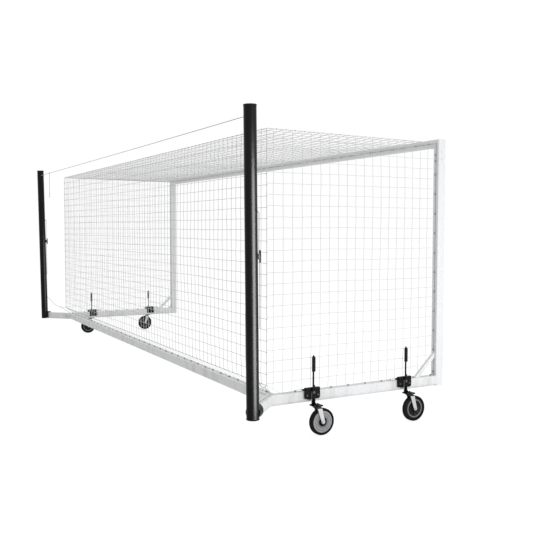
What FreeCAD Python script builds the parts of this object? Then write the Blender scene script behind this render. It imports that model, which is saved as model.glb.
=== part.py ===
import FreeCAD, Part
import math
import os
import re

import Sketcher

App = FreeCAD
Vector = App.Vector

# A portable full-size football goal of the box kind: a white frame of D-shaped
# extrusion with a net, two black posts behind it that hold the net's rear corners
# by rope, and four castor wheels that swing down on levers to lift the frame.
# Left is -X, right is +X, the mouth faces -Y and the wheels stand on z = 0.

# Driving sizes, in millimetres and degrees.
SIZES = {
    "mouth_width": 7320,
    "mouth_height": 2440,
    "section_width": 80,
    "section_depth": 105,
    "section_wall": 3,
    "nose_radius": 34,
    "back_radius": 8,
    "channel_mouth": 9,
    "channel_width": 15,
    "channel_depth": 13,
    "bar_setback": 2000,
    "bend_setback": 2037,
    "bend_radius": 120,
    "stub_reach": 350,
    "insert_arm": 150,
    "insert_width": 60,
    "insert_front": 24,
    "seat_gap": 0.3,
    "brace_run": 355,
    "brace_rise": 342,
    "brace_foot": 55,
    "brace_thickness": 25,
    "brace_wall": 3,
    "gusset_leg": 150,
    "gusset_height": 88,
    "gusset_thickness": 6,
    "rear_post_diameter": 110,
    "rear_post_wall": 3,
    "lean_back": 38,
    "lean_out": 20,
    "cap_diameter": 114,
    "cap_thickness": 12,
    "foot_thickness": 10,
    "spigot_depth": 24,
    "spigot_gap": 0.5,
    "collar_diameter": 130,
    "collar_length": 45,
    "collar_height": 60,
    "rope_diameter": 6,
    "bush_bore": 7,
    "bush_diameter": 18,
    "bush_flange": 26,
    "bush_lip": 4,
    "cross_rope_height": 2548,
    "post_above_rope": 87,
    "halyard_height": 1755,
    "cleat_height": 1380,
    "corner_cord_height": 370,
    "halyard_end": 780,
    "cleat_length": 110,
    "cleat_width": 18,
    "cleat_neck": 32,
    "cleat_reach": 20,
    "cleat_horn": 12,
    "cleat_flange": 5,
    "drop_cord_place": 3360,
    "drop_cord_length": 330,
    "hook_length": 80,
    "hook_width": 30,
    "hook_wire": 7,
    "hook_barrel": 18,
    "net_rear_setback": 2085,
    "net_rear_rise": 60,
    "net_low_corner": 203,
    "net_spread": 36.5,
    "net_strand": 8,
    "net_thickness": 4,
    "border_diameter": 8,
    "net_columns": 17,
    "net_rows": 6,
    "clip_pitch": 199,
    "clip_first": 143,
    "clip_second": 372,
    "clip_length": 18,
    "clip_reach": 13,
    "clip_foot": 8,
    "bolt_diameter": 10,
    "bolt_head": 17,
    "bolt_head_height": 6,
    "bolt_grip": 14,
    "bolt_socket": 22,
    "corner_bolt_setback": 62,
    "front_unit": 530,
    "rear_unit": 1612,
    "bracket_length": 158,
    "bracket_bottom": 35,
    "bracket_top": 142,
    "bracket_round": 20,
    "housing_depth": 20,
    "housing_floor": 8,
    "cheek_depth": 8,
    "cheek_gap": 44,
    "saddle_length": 130,
    "saddle_thickness": 6,
    "clamp_length": 140,
    "clamp_bolt_spread": 58,
    "clamp_bolt_height": 72,
    "pivot_height": 100,
    "pin_diameter": 16,
    "running_gap": 0.3,
    "disc_radius": 38,
    "disc_gap": 1.5,
    "lock_height": 26,
    "lock_diameter": 10,
    "lock_axis": 12,
    "lock_travel": 12,
    "sleeve_length": 30,
    "sleeve_diameter": 18,
    "knob_length": 52,
    "knob_diameter": 22,
    "lever_gap": 2,
    "lever_thickness": 10,
    "arm_width": 40,
    "hub_radius": 18,
    "stem_width": 14,
    "stem_top": 292,
    "tang_length": 100,
    "lug_width": 10,
    "lug_height": 16,
    "grip_length": 155,
    "grip_width": 32,
    "grip_depth": 24,
    "plate_drop": 8,
    "plate_thickness": 8,
    "plate_length": 140,
    "plate_edge": 50,
    "swivel_reach": 100,
    "kingpin_diameter": 16,
    "head_diameter": 80,
    "head_height": 14,
    "crown_thickness": 6,
    "fork_top": 49,
    "fork_tip": 35,
    "fork_shift": 10,
    "fork_leg": 6,
    "fork_side_gap": 3,
    "wheel_diameter": 250,
    "wheel_width": 50,
    "axle_drop": 165,
    "trail": 50,
    "axle_diameter": 12,
    "axle_head": 19,
    "axle_head_height": 8,
    "wheel_hub_diameter": 46,
    "wheel_disc": 30,
    "rim_diameter": 216,
    "rim_width": 40,
    "groove_radius": 78,
    "groove_width": 8,
    "groove_depth": 3,
    "tyre_round": 10,
}

# Sizes worked out from the driving ones, as the sheet's own formulas.
WORKED_OUT = {
    "underside": "axle_drop + wheel_diameter / 2",
    "rail_place": "mouth_width / 2 + section_width / 2",
    "rail_face": "mouth_width / 2 + section_width",
    "rear_post_place": "rail_place + stub_reach",
    "rear_post_setback": "bend_setback + stub_reach",
    "rear_post_height": "cross_rope_height + post_above_rope",
    "lean_length": "sqrt(lean_out ^ 2 + lean_back ^ 2 + rear_post_height ^ 2)",
    "cap_reach": "cap_diameter / 2 * sqrt(1 - (lean_back / lean_length) ^ 2)",
    "whole_depth": "rear_post_setback + lean_back + cap_reach",
    "nose_plane": "-whole_depth / 2",
    "tube_top": "lean_length - cap_thickness",
    "bend_start": "bend_setback - bend_radius * tan(22.5)",
    "bend_end_out": "bend_radius * (1 - cos(45))",
    "bend_end_back": "bend_radius * sin(45)",
    "stub_length": "(stub_reach - bend_radius * tan(22.5) * cos(45)) / cos(45)",
    "bolt_seat": "housing_depth + cheek_depth - bolt_head_height",
    "clamp_grip": "bolt_seat + section_width + saddle_thickness",
    "bar_reach": "rail_place - channel_width / 2 - section_wall",
    "net_corner_place": "rail_place + net_spread",
    "net_rear_height": "mouth_height + net_rear_rise",
    "clip_top": "section_depth + clip_reach",
    "border_gap": "border_diameter / 2 + seat_gap",
    "lever_place": "housing_depth + cheek_depth + lever_gap",
    "lock_edge": "sqrt(disc_radius ^ 2 - (lock_height - lock_diameter / 2) ^ 2)",
    "lock_level": "pivot_height + lock_height",
    "plate_under": "plate_drop + plate_thickness",
    "head_top": "plate_under + seat_gap",
    "crown_top": "head_top + head_height",
    "fork_gap": "wheel_width + 2 * fork_side_gap",
    "fork_width": "fork_gap + 2 * fork_leg",
    "plate_reach": "swivel_reach + plate_edge",
}

RIGHT = 1
LEFT = -1
NOTHING = App.Rotation()
# A sketch in a vertical plane: its own X axis runs along the world's Y, its Y axis up.
FACING_X = App.Rotation(Vector(1, 1, 1), 120)
FACING_Y = App.Rotation(Vector(1, 0, 0), 90)
ALONG_X = App.Rotation(Vector(0, 1, 0), 90)
ALONG_Y = App.Rotation(Vector(1, 0, 0), -90)
SQRT_2 = math.sqrt(2)
UNITS = ("front_unit", "rear_unit")
BEND = 45

doc = App.newDocument("Goal")
sheet = doc.addObject("Spreadsheet::Sheet", "Sizes")
row = 1
for name, value in SIZES.items():
    sheet.set(f"A{row}", name)
    sheet.set(f"B{row}", str(value))
    sheet.setAlias(f"B{row}", name)
    row += 1
for name, formula in WORKED_OUT.items():
    sheet.set(f"A{row}", name)
    sheet.set(f"B{row}", "=" + formula)
    sheet.setAlias(f"B{row}", name)
    row += 1
doc.recompute()
WORDS = set(SIZES) | set(WORKED_OUT)

nodes = {}


def keep(name, thing):
    """Names a finished sub-part, which is written to a file of that name."""
    thing.Label = name
    nodes[name] = thing
    return thing


def from_sheet(text):
    """The expression with the sheet's name before each of its sizes."""
    def named(word):
        return "Sizes." + word[0] if word[0] in WORDS else word[0]

    return re.sub(r"[a-z][a-z_]*", named, str(text))


def number(text):
    """The value that an expression has now."""
    return float(sheet.evalExpression(str(text)))


def bind(thing, **sizes):
    """Ties the properties of a thing to expressions of the sheet's sizes."""
    for name, text in sizes.items():
        thing.setExpression(name, from_sheet(text))
    return thing


def put(thing, x=0, y=0, z=0, turn=NOTHING):
    """Places a thing at x, y and z, which are expressions, after turning it."""
    thing.Placement = App.Placement(Vector(number(x), number(y), number(z)), turn)
    for axis, text in zip("xyz", (x, y, z)):
        if re.search("[a-z]", str(text)):
            thing.setExpression("Placement.Base." + axis, from_sheet(text))
    return thing


def block(name, length, width, height, x=0, y=0, z=0, turn=NOTHING):
    """A box from its lowest corner."""
    thing = doc.addObject("Part::Box", name)
    bind(thing, Length=length, Width=width, Height=height)
    return put(thing, x, y, z, turn)


def rod(name, radius, length, x=0, y=0, z=0, turn=NOTHING):
    """A cylinder along its own Z axis, from its lower end."""
    thing = doc.addObject("Part::Cylinder", name)
    bind(thing, Radius=radius, Height=length)
    return put(thing, x, y, z, turn)


def hexagon(name, across, height, x=0, y=0, z=0, turn=NOTHING):
    """A six-sided head or nut, by its width across the flats."""
    thing = doc.addObject("Part::Prism", name)
    thing.Polygon = 6
    bind(thing, Circumradius=f"({across}) / sqrt(3)", Height=height)
    return put(thing, x, y, z, turn)


def cut(name, base, tool):
    thing = doc.addObject("Part::Cut", name)
    thing.Base = base
    thing.Tool = tool
    return thing


def cut_all(name, base, tools):
    return cut(name, base, group(name + "_tools", tools))


def join(name, things):
    thing = doc.addObject("Part::MultiFuse", name)
    thing.Shapes = things
    thing.Refine = True
    return thing


def group(name, things):
    """Separate solids under one name."""
    thing = doc.addObject("Part::Compound", name)
    thing.Links = things
    return thing


def mirrored(name, source):
    """The left-hand copy of a right-hand piece."""
    thing = doc.addObject("Part::Mirroring", name)
    thing.Source = source
    thing.Normal = Vector(1, 0, 0)
    return thing


def corner_arc(before, corner, after, radius):
    """The arc that rounds a corner, and whether it turns left there."""
    back = (before - corner).normalize()
    on = (after - corner).normalize()
    half = back.getAngle(on) / 2
    centre = corner + (back + on).normalize() * (radius / math.sin(half))
    start = corner + back * (radius / math.tan(half))
    end = corner + on * (radius / math.tan(half))
    left = (corner - before).cross(after - corner).z > 0
    first, last = (start, end) if left else (end, start)
    angles = [math.atan2(p.y - centre.y, p.x - centre.x) for p in (first, last)]
    return start, end, Part.ArcOfCircle(Part.Circle(centre, Vector(0, 0, 1), radius), *angles), left


def outline(sketch, corners):
    """A closed outline of straight sides. A corner is x, y and its radius, or None where it is sharp."""
    tag = sketch.GeometryCount
    points = [Vector(number(x), number(y), 0) for x, y, _ in corners]
    count = len(points)
    starts = []
    ends = []
    arcs = []
    for i, (_, _, radius) in enumerate(corners):
        if radius is None:
            starts.append(points[i])
            ends.append(points[i])
            arcs.append(None)
            continue
        start, end, arc, left = corner_arc(points[i - 1], points[i], points[(i + 1) % count], number(radius))
        starts.append(start)
        ends.append(end)
        arcs.append((arc, left))
    sides = []
    for i in range(count):
        sides.append(sketch.addGeometry(Part.LineSegment(ends[i], starts[(i + 1) % count]), False))
    for i, (x, y, radius) in enumerate(corners):
        before = sides[i - 1]
        after = sides[i]
        if radius is None:
            sketch.addConstraint(Sketcher.Constraint("Coincident", before, 2, after, 1))
            hold(sketch, f"{tag}_{i}", after, 1, x, y)
            continue
        arc, left = arcs[i]
        curve = sketch.addGeometry(arc, False)
        point = sketch.addGeometry(Part.Point(points[i]), True)
        hold(sketch, f"{tag}_{i}", point, 1, x, y)
        sketch.addConstraint(Sketcher.Constraint("PointOnObject", point, 1, before))
        sketch.addConstraint(Sketcher.Constraint("PointOnObject", point, 1, after))
        first, last = (1, 2) if left else (2, 1)
        sketch.addConstraint(Sketcher.Constraint("Tangent", before, 2, curve, first))
        sketch.addConstraint(Sketcher.Constraint("Tangent", after, 1, curve, last))
        measured(sketch, f"r{tag}_{i}", Sketcher.Constraint("Radius", curve, number(radius)), radius)
    return sketch


def measured(sketch, name, constraint, text):
    """Adds a constraint with a value and ties the value to the sheet."""
    index = sketch.addConstraint(constraint)
    sketch.renameConstraint(index, name)
    sketch.setExpression("Constraints." + name, from_sheet(text))


def hold(sketch, tag, item, end, x, y):
    """Holds a point of a sketch at x and y from the sketch's origin."""
    measured(sketch, "x" + tag, Sketcher.Constraint("DistanceX", -1, 1, item, end, number(x)), x)
    measured(sketch, "y" + tag, Sketcher.Constraint("DistanceY", -1, 1, item, end, number(y)), y)


def circle(sketch, x, y, radius):
    tag = sketch.GeometryCount
    centre = Vector(number(x), number(y), 0)
    item = sketch.addGeometry(Part.Circle(centre, Vector(0, 0, 1), number(radius)), False)
    hold(sketch, f"{tag}", item, 3, x, y)
    measured(sketch, f"r{tag}", Sketcher.Constraint("Radius", item, number(radius)), radius)
    return sketch


def drawing(name, *outlines, x=0, y=0, z=0, turn=NOTHING):
    """A free sketch of closed outlines, at a place of its own."""
    sketch = doc.addObject("Sketcher::SketchObject", name)
    put(sketch, x, y, z, turn)
    for corners in outlines:
        outline(sketch, corners)
    return sketch


def run(name, sketch, direction, length):
    """A straight length of a drawn section."""
    thing = doc.addObject("Part::Extrusion", name)
    thing.Base = sketch
    thing.DirMode = "Custom"
    thing.Dir = direction
    thing.Solid = True
    bind(thing, LengthFwd=length)
    return thing


def new_body(name):
    return doc.addObject("PartDesign::Body", name)


def on_plane(body, name, role, offset=0):
    """A sketch on one of the body's own origin planes, moved along the plane's normal."""
    sketch = body.newObject("Sketcher::SketchObject", name)
    plane = next(f for f in body.Origin.OriginFeatures if f.Role == role)
    sketch.AttachmentSupport = [(plane, "")]
    sketch.MapMode = "FlatFace"
    sketch.setExpression("AttachmentOffset.Base.z", from_sheet(offset))
    return sketch


def pad(body, name, sketch, length, backwards=False, both_ways=False):
    thing = body.newObject("PartDesign::Pad", name)
    thing.Profile = sketch
    thing.Reversed = backwards
    thing.Midplane = both_ways
    bind(thing, Length=length)
    return thing


def pocket(body, name, sketch, length=None, backwards=False, both_ways=False):
    thing = body.newObject("PartDesign::Pocket", name)
    thing.Profile = sketch
    thing.Reversed = backwards
    thing.Midplane = both_ways
    if length is None:
        thing.Type = "ThroughAll"
    else:
        bind(thing, Length=length)
    return thing


def turned(body, name, sketch, axis="V_Axis"):
    """A round form from half of its section."""
    thing = body.newObject("PartDesign::Revolution", name)
    thing.Profile = sketch
    thing.ReferenceAxis = (sketch, [axis])
    thing.Angle = 360
    return thing


def solid_group(name, shapes):
    """Copies of a finished shape, or strands and cords, as separate solids under one name."""
    thing = doc.addObject("Part::Feature", name)
    thing.Shape = shapes[0] if len(shapes) == 1 else Part.makeCompound(shapes)
    return thing


# The D-shaped section. Its nose is at v = 0 and its flat back, with the net channel, at v = section_depth.
SECTION_OUTSIDE = [
    ("section_width / 2", "0", "nose_radius"),
    ("section_width / 2", "section_depth", "back_radius"),
    ("channel_mouth / 2", "section_depth", None),
    ("channel_mouth / 2", "section_depth - section_wall", None),
    ("channel_width / 2", "section_depth - section_wall", None),
    ("channel_width / 2", "section_depth - channel_depth", None),
    ("-channel_width / 2", "section_depth - channel_depth", None),
    ("-channel_width / 2", "section_depth - section_wall", None),
    ("-channel_mouth / 2", "section_depth - section_wall", None),
    ("-channel_mouth / 2", "section_depth", None),
    ("-section_width / 2", "section_depth", "back_radius"),
    ("-section_width / 2", "0", "nose_radius"),
]
SECTION_INSIDE = [
    ("section_width / 2 - section_wall", "section_wall", "nose_radius - section_wall"),
    ("section_width / 2 - section_wall", "section_depth - section_wall", "back_radius - section_wall"),
    ("channel_width / 2 + section_wall", "section_depth - section_wall", None),
    ("channel_width / 2 + section_wall", "section_depth - channel_depth - section_wall", None),
    ("-channel_width / 2 - section_wall", "section_depth - channel_depth - section_wall", None),
    ("-channel_width / 2 - section_wall", "section_depth - section_wall", None),
    ("-section_width / 2 + section_wall", "section_depth - section_wall", "back_radius - section_wall"),
    ("-section_width / 2 + section_wall", "section_wall", "nose_radius - section_wall"),
]


def corner_bolt_places():
    """The bolts of the right top corner: in the goalpost's outer face and in the crossbar's top."""
    places = []
    for drop in ("insert_arm * 0.3", "insert_arm * 0.8"):
        setback = "nose_plane + corner_bolt_setback"
        side = ("rail_face", setback, f"underside + mouth_height - {drop}", ALONG_X)
        top = (f"mouth_width / 2 - {drop}", setback, "underside + mouth_height + section_width", NOTHING)
        places += [side, top]
    return places


def corner_bolt_holes():
    holes = []
    for x, y, z, turn in corner_bolt_places():
        hole = rod("corner_hole", "bolt_diameter / 2 + seat_gap", "2 * bolt_grip + 2")
        inward = turn.multVec(Vector(0, 0, -number("bolt_grip + 1")))
        hole.Placement = App.Placement(Vector(number(x), number(y), number(z)) + inward, turn)
        holes.append(hole)
    return holes


def goalposts_and_crossbar(holes):
    """The mouth: two posts and a crossbar, mitred at the top corners."""
    place = {"x": "rail_place", "y": "nose_plane", "z": "underside"}
    section = drawing("post_section", SECTION_OUTSIDE, SECTION_INSIDE, **place)
    post = run("post_run", section, Vector(0, 0, 1), "mouth_height + section_width")
    mitre_length = f"3 * section_width * {SQRT_2}"
    mitre_width = "section_depth + 20"
    post_tool = block(
        "post_mitre", mitre_length, mitre_width, "2 * section_width",
        "mouth_width / 2 - section_width", "nose_plane - 10", "underside + mouth_height - section_width",
        App.Rotation(Vector(0, 1, 0), -45),
    )
    bar_tool = block(
        "bar_mitre", mitre_length, mitre_width, "3 * section_width",
        "mouth_width / 2 + 2 * section_width", "nose_plane - 10",
        "underside + mouth_height + 2 * section_width", App.Rotation(Vector(0, 1, 0), 135),
    )
    right = keep("goalpost_right", cut_all("post_cut", post, [post_tool] + holes))
    keep("goalpost_left", mirrored("post_mirror", right))
    bar_section = drawing(
        "bar_section", SECTION_OUTSIDE, SECTION_INSIDE, x="-rail_face", y="nose_plane",
        z="underside + mouth_height + section_width / 2", turn=App.Rotation(Vector(0, 1, 0), -90),
    )
    bar = run("bar_run", bar_section, Vector(1, 0, 0), "2 * rail_face")
    tools = group("bar_tools", [bar_tool] + holes)
    keep("crossbar", cut_all("bar_cut", bar, [tools, mirrored("bar_tools_mirror", tools)]))


def corner_inserts(holes):
    """The L-shaped pieces inside the mitred corners, seated on the wall under the net channel."""
    depth = "section_depth - channel_depth - section_wall - seat_gap - insert_front"
    inside = "(section_width - insert_width) / 2"
    upright = block(
        "insert_upright", "insert_width", depth, f"insert_arm + section_width - {inside}",
        f"mouth_width / 2 + {inside}", "nose_plane + insert_front", "underside + mouth_height - insert_arm",
    )
    level = block(
        "insert_level", f"insert_arm + section_width - {inside}", depth, "insert_width",
        "mouth_width / 2 - insert_arm", "nose_plane + insert_front", f"underside + mouth_height + {inside}",
    )
    right = cut_all("insert_right", join("insert_joined", [upright, level]), holes)
    keep("corner_inserts", group("inserts", [right, mirrored("insert_left", right)]))


def rail_form(name, corners):
    """The run of the right side rail, for one outline: straight back, a bend outwards and a stub."""
    place = {"x": "rail_place", "z": "underside", "turn": FACING_Y}
    straight = drawing(name + "_section", corners, y="nose_plane + section_depth", **place)
    at_bend = drawing(name + "_bend_section", corners, y="nose_plane + bend_start", **place)
    at_stub = drawing(
        name + "_stub_section", corners,
        x="rail_place + bend_end_out", y="nose_plane + bend_start + bend_end_back",
        z="underside", turn=App.Rotation(Vector(0, 0, 1), -BEND) * FACING_Y,
    )
    bend = doc.addObject("Part::Revolution", name + "_bend")
    bend.Source = at_bend
    bend.Axis = Vector(0, 0, -1)
    bend.Angle = BEND
    bend.Solid = True
    bind(bend, **{"Base.x": "rail_place + bend_radius", "Base.y": "nose_plane + bend_start"})
    outwards = Vector(1, 1, 0) / SQRT_2
    return join(name, [
        run(name + "_straight", straight, Vector(0, 1, 0), "bend_start - section_depth"),
        bend,
        run(name + "_stub", at_stub, outwards, "stub_length"),
    ])


def lean():
    """The turn of the right rear post, which leans back and a little outwards."""
    along = Vector(number("lean_out"), number("lean_back"), number("rear_post_height"))
    return App.Rotation(Vector(0, 0, 1), along)


def on_post(thing, turn=NOTHING):
    """Places a piece that was made about the rear post's own axis."""
    return put(thing, "rear_post_place", "nose_plane + rear_post_setback", "underside", lean() * turn)


def rails_and_ground_bar():
    """The ground frame: two side rails with their stubs and the rear ground bar coped between them."""
    filled = rail_form("rail_outside", SECTION_OUTSIDE)
    hollow = cut("rail_hollow", filled, rail_form("rail_inside", SECTION_INSIDE))
    post_envelope = on_post(rod("post_envelope", "rear_post_diameter / 2 + seat_gap", "rear_post_height / 2"))
    foot_envelope = rod(
        "foot_envelope", "cap_diameter / 2 + seat_gap", "foot_thickness + seat_gap",
        "rear_post_place", "nose_plane + rear_post_setback", "underside",
    )
    holes = []
    for unit in UNITS:
        for side in (-1, 1):
            holes.append(rod(
                "clamp_hole", "bolt_diameter / 2 + seat_gap", "section_width + 4", "mouth_width / 2 - 2",
                f"nose_plane + {unit} + {side} * clamp_bolt_spread", "underside + clamp_bolt_height", ALONG_X,
            ))
    right = keep("side_rail_right", cut_all("rail_cut", hollow, [post_envelope, foot_envelope] + holes))
    keep("side_rail_left", mirrored("rail_mirror", right))
    place = {"x": "-bar_reach", "y": "nose_plane + bar_setback", "z": "underside", "turn": FACING_X}
    section = drawing("ground_bar_section", SECTION_OUTSIDE, SECTION_INSIDE, **place)
    bar = run("ground_bar_run", section, Vector(1, 0, 0), "2 * bar_reach")
    rails = [filled, mirrored("rail_outside_mirror", filled)]
    keep("rear_ground_bar", cut_all("ground_bar_cut", bar, rails))
    gusset_outline = [
        ("mouth_width / 2 - gusset_leg", "bar_setback + section_width / 2", None),
        ("rail_place", "bar_setback + section_width / 2", None),
        ("rail_place + gusset_leg / 2", "bar_setback + section_width / 2 + gusset_leg / 2", None),
        ("mouth_width / 2", "bar_setback + section_width / 2 + gusset_leg * 0.55", None),
    ]
    plate = run(
        "gusset_plate",
        drawing(
            "gusset_outline", gusset_outline, y="nose_plane",
            z="underside + gusset_height - gusset_thickness",
        ),
        Vector(0, 0, 1), "gusset_thickness",
    )
    gusset = cut("gusset_right", plate, filled)
    keep("corner_gussets", group("gussets", [gusset, mirrored("gusset_left", gusset)]))
    return filled


def corner_braces():
    """Sloping tubes in the front corners, from the rail's top to the back of the goalpost."""
    slope = "(brace_rise - section_depth) / (brace_run - section_depth)"

    def strip(outer, inner):
        return [
            (f"brace_run - {outer}", "section_depth", None),
            ("section_depth", f"brace_rise - ({outer}) * {slope}", None),
            ("section_depth", f"brace_rise - ({inner}) * {slope}", None),
            (f"brace_run - {inner}", "section_depth", None),
        ]

    place = {"y": "nose_plane", "z": "underside", "turn": FACING_X}
    cut_wall = f"brace_wall * {SQRT_2}"
    solid = run(
        "brace_outside",
        drawing("brace_outline", strip("0", "brace_foot"), x="rail_place - brace_thickness / 2", **place),
        Vector(1, 0, 0), "brace_thickness",
    )
    void = run(
        "brace_inside",
        drawing(
            "brace_void", strip(cut_wall, f"brace_foot - {cut_wall}"),
            x="rail_place - brace_thickness / 2 + brace_wall", **place,
        ),
        Vector(1, 0, 0), "brace_thickness - 2 * brace_wall",
    )
    right = cut("brace_right", solid, void)
    keep("corner_braces", group("braces", [right, mirrored("brace_left", right)]))


GUIDES = (
    ("cross_rope_height", App.Rotation(Vector(0, 1, 0), -90)),
    ("halyard_height", App.Rotation(Vector(1, 0, 0), 90)),
    ("corner_cord_height", App.Rotation(Vector(1, -1, 0), 90)),
)


def rear_posts():
    """The black posts behind the goal, with their caps, feet, sockets, rope guides and cleats."""
    tube = on_post(rod("post_tube_outside", "rear_post_diameter / 2", "tube_top"))
    bore = on_post(rod("post_tube_inside", "rear_post_diameter / 2 - rear_post_wall", "tube_top + 1"))
    ground = block(
        "post_ground", "2 * rear_post_diameter", "2 * rear_post_diameter", "100 + foot_thickness",
        "rear_post_place - rear_post_diameter",
        "nose_plane + rear_post_setback - rear_post_diameter", "underside - 100",
    )
    holes = []
    guides = []
    for height, turn in GUIDES:
        hole = rod("guide_hole", "bush_diameter / 2 + seat_gap", "rear_post_diameter")
        holes.append(at_guide(hole, height, turn, "0"))
        guides.append(at_guide(rope_guide(), height, turn, "rear_post_diameter / 2"))
    right = keep("rear_post_right", cut_all("post_tube", tube, [bore, ground] + holes))
    keep("rear_post_left", mirrored("post_tube_mirror", right))
    guides_right = group("guides_right", guides)
    keep("rope_guides", group("guides_both", [guides_right, mirrored("guides_left", guides_right)]))
    plugs = group("plugs_right", [post_cap(), post_foot()])
    keep("post_plugs", group("plugs_both", [plugs, mirrored("plugs_left", plugs)]))
    cleat = rope_cleat()
    keep("cleats", group("cleats_both", [cleat, mirrored("cleat_left", cleat)]))


def at_guide(thing, height, turn, reach):
    """Places a piece at a rope guide: at its height on the post, facing out along its turn."""
    outward = turn.multVec(Vector(0, 0, 1))
    local = outward * number(reach) + Vector(0, 0, number(height))
    base = Vector(number("rear_post_place"), number("nose_plane + rear_post_setback"), number("underside"))
    thing.Placement = App.Placement(base + lean().multVec(local), lean() * turn)
    return thing


def rope_guide():
    """A flanged bush for a rope, turned, with its mouth rounded."""
    body = new_body("rope_guide")
    half = on_plane(body, "rope_guide_section", "XZ_Plane")
    outline(half, [
        ("bush_bore / 2", "-rear_post_wall - 3", None),
        ("bush_diameter / 2", "-rear_post_wall - 3", None),
        ("bush_diameter / 2", "bush_lip / 4", None),
        ("bush_flange / 2", "bush_lip / 4", None),
        ("bush_flange / 2", "bush_lip", "bush_lip / 3"),
        ("bush_bore / 2", "bush_lip", "bush_lip / 2"),
    ])
    turned(body, "rope_guide_turned", half)
    return body


def post_cap():
    body = new_body("post_cap")
    half = on_plane(body, "post_cap_section", "XZ_Plane")
    spigot = "rear_post_diameter / 2 - rear_post_wall - spigot_gap"
    outline(half, [
        ("0", "-spigot_depth", None),
        (spigot, "-spigot_depth", None),
        (spigot, "0", None),
        ("cap_diameter / 2", "0", None),
        ("cap_diameter / 2", "cap_thickness", "cap_thickness / 3"),
        ("0", "cap_thickness", None),
    ])
    turned(body, "post_cap_turned", half)
    axis = lean().multVec(Vector(0, 0, 1))
    base = Vector(number("rear_post_place"), number("nose_plane + rear_post_setback"), number("underside"))
    body.Placement = App.Placement(base + axis * number("tube_top"), lean())
    return body


def post_foot():
    """The level foot under the leaning tube, with a spigot inside it."""
    body = new_body("post_foot")
    half = on_plane(body, "post_foot_section", "XZ_Plane")
    spigot = "rear_post_diameter / 2 - rear_post_wall - spigot_gap - 1"
    outline(half, [
        ("0", "0", None),
        ("cap_diameter / 2", "0", "foot_thickness / 4"),
        ("cap_diameter / 2", "foot_thickness", None),
        (spigot, "foot_thickness", None),
        (spigot, "foot_thickness + spigot_depth", None),
        ("0", "foot_thickness + spigot_depth", None),
    ])
    turned(body, "post_foot_turned", half)
    return put(body, "rear_post_place", "nose_plane + rear_post_setback", "underside")


def rope_cleat():
    """A horn cleat on the front of the rear post, its flange fitted to the tube."""
    body = new_body("cleat")
    side = on_plane(body, "cleat_side", "YZ_Plane")
    face = "-rear_post_diameter / 2"
    under = f"{face} - cleat_reach"
    outline(side, [
        (f"{face} + 10", "-cleat_length / 4", None),
        (f"{face} + 10", "cleat_length / 4", None),
        (f"{face} - cleat_flange", "cleat_length / 4", "2"),
        (f"{face} - cleat_flange", "cleat_neck / 2", None),
        (under, "cleat_neck / 2", "3"),
        (f"{under} - 2", "cleat_length / 2", "2"),
        (f"{under} - cleat_horn", "cleat_length / 2 - 6", "4"),
        (f"{under} - cleat_horn - 2", "0", "60"),
        (f"{under} - cleat_horn", "6 - cleat_length / 2", "4"),
        (f"{under} - 2", "-cleat_length / 2", "2"),
        (under, "-cleat_neck / 2", "3"),
        (f"{face} - cleat_flange", "-cleat_neck / 2", None),
        (f"{face} - cleat_flange", "-cleat_length / 4", "2"),
    ])
    pad(body, "cleat_pad", side, "cleat_width", both_ways=True)
    seat = on_plane(body, "cleat_seat", "XY_Plane")
    circle(seat, "0", "0", "rear_post_diameter / 2")
    pocket(body, "cleat_pocket", seat, both_ways=True)
    local = lean().multVec(Vector(0, 0, number("cleat_height")))
    base = Vector(number("rear_post_place"), number("nose_plane + rear_post_setback"), number("underside"))
    body.Placement = App.Placement(base + local, lean())
    return body


def post_sockets(rail):
    """Collars that join the rails' stubs to the rear posts."""
    reach = "rear_post_diameter / 2 + collar_length"
    collar = rod(
        "collar", "collar_diameter / 2", reach, f"rear_post_place - ({reach}) / {SQRT_2}",
        f"nose_plane + rear_post_setback - ({reach}) / {SQRT_2}", "underside + collar_height",
        App.Rotation(Vector(0, 0, 1), Vector(1, 1, 0)),
    )
    envelope = on_post(rod("collar_post", "rear_post_diameter / 2", "rear_post_height / 2"))
    ground = block(
        "collar_ground", "2 * collar_diameter", "2 * collar_diameter", "collar_diameter",
        "rear_post_place - collar_diameter", "nose_plane + rear_post_setback - collar_diameter",
        "underside + foot_thickness + seat_gap - collar_diameter",
    )
    right = cut_all("socket_right", collar, [envelope, ground, rail])
    keep("post_sockets", group("sockets", [right, mirrored("socket_left", right)]))



def tube(points, diameter):
    """A round cord along straight runs joined by tangent arcs, and the radii of the arcs."""
    points = [Vector(*p) for p in points]
    edges = []
    radii = []
    here = points[0]
    for before, corner, after in zip(points, points[1:], points[2:]):
        back = before - corner
        on = after - corner
        half_turn = (math.pi - back.getAngle(on)) / 2
        length = 0.45 * min(back.Length, on.Length)
        radii.append(length / math.tan(half_turn))
        back.normalize()
        on.normalize()
        start = corner + back * length
        end = corner + on * length
        middle = (back + on).normalize()
        rise = radii[-1] / math.cos(half_turn) - radii[-1]
        edges.append(Part.LineSegment(here, start).toShape())
        edges.append(Part.Arc(start, corner + middle * rise, end).toShape())
        here = end
    edges.append(Part.LineSegment(here, points[-1]).toShape())
    path = Part.Wire(edges)
    ring = Part.Wire(Part.makeCircle(diameter / 2, points[0], points[1] - points[0]))
    cord = path.makePipeShell([ring], True, False)
    expected = math.pi * diameter ** 2 / 4 * path.Length
    rounded = ", ".join(f"{radius:.0f}" for radius in radii)
    share = cord.Volume / expected
    print(f"cord {path.Length:.0f} long, volume {share:.4f} of its section times length, radii {rounded}")
    return cord


def from_mouth(x, y, z):
    """A point given from the middle of the mouth's nose plane, at the frame's underside."""
    return Vector(x, number("nose_plane") + y, number("underside") + z)


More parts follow.
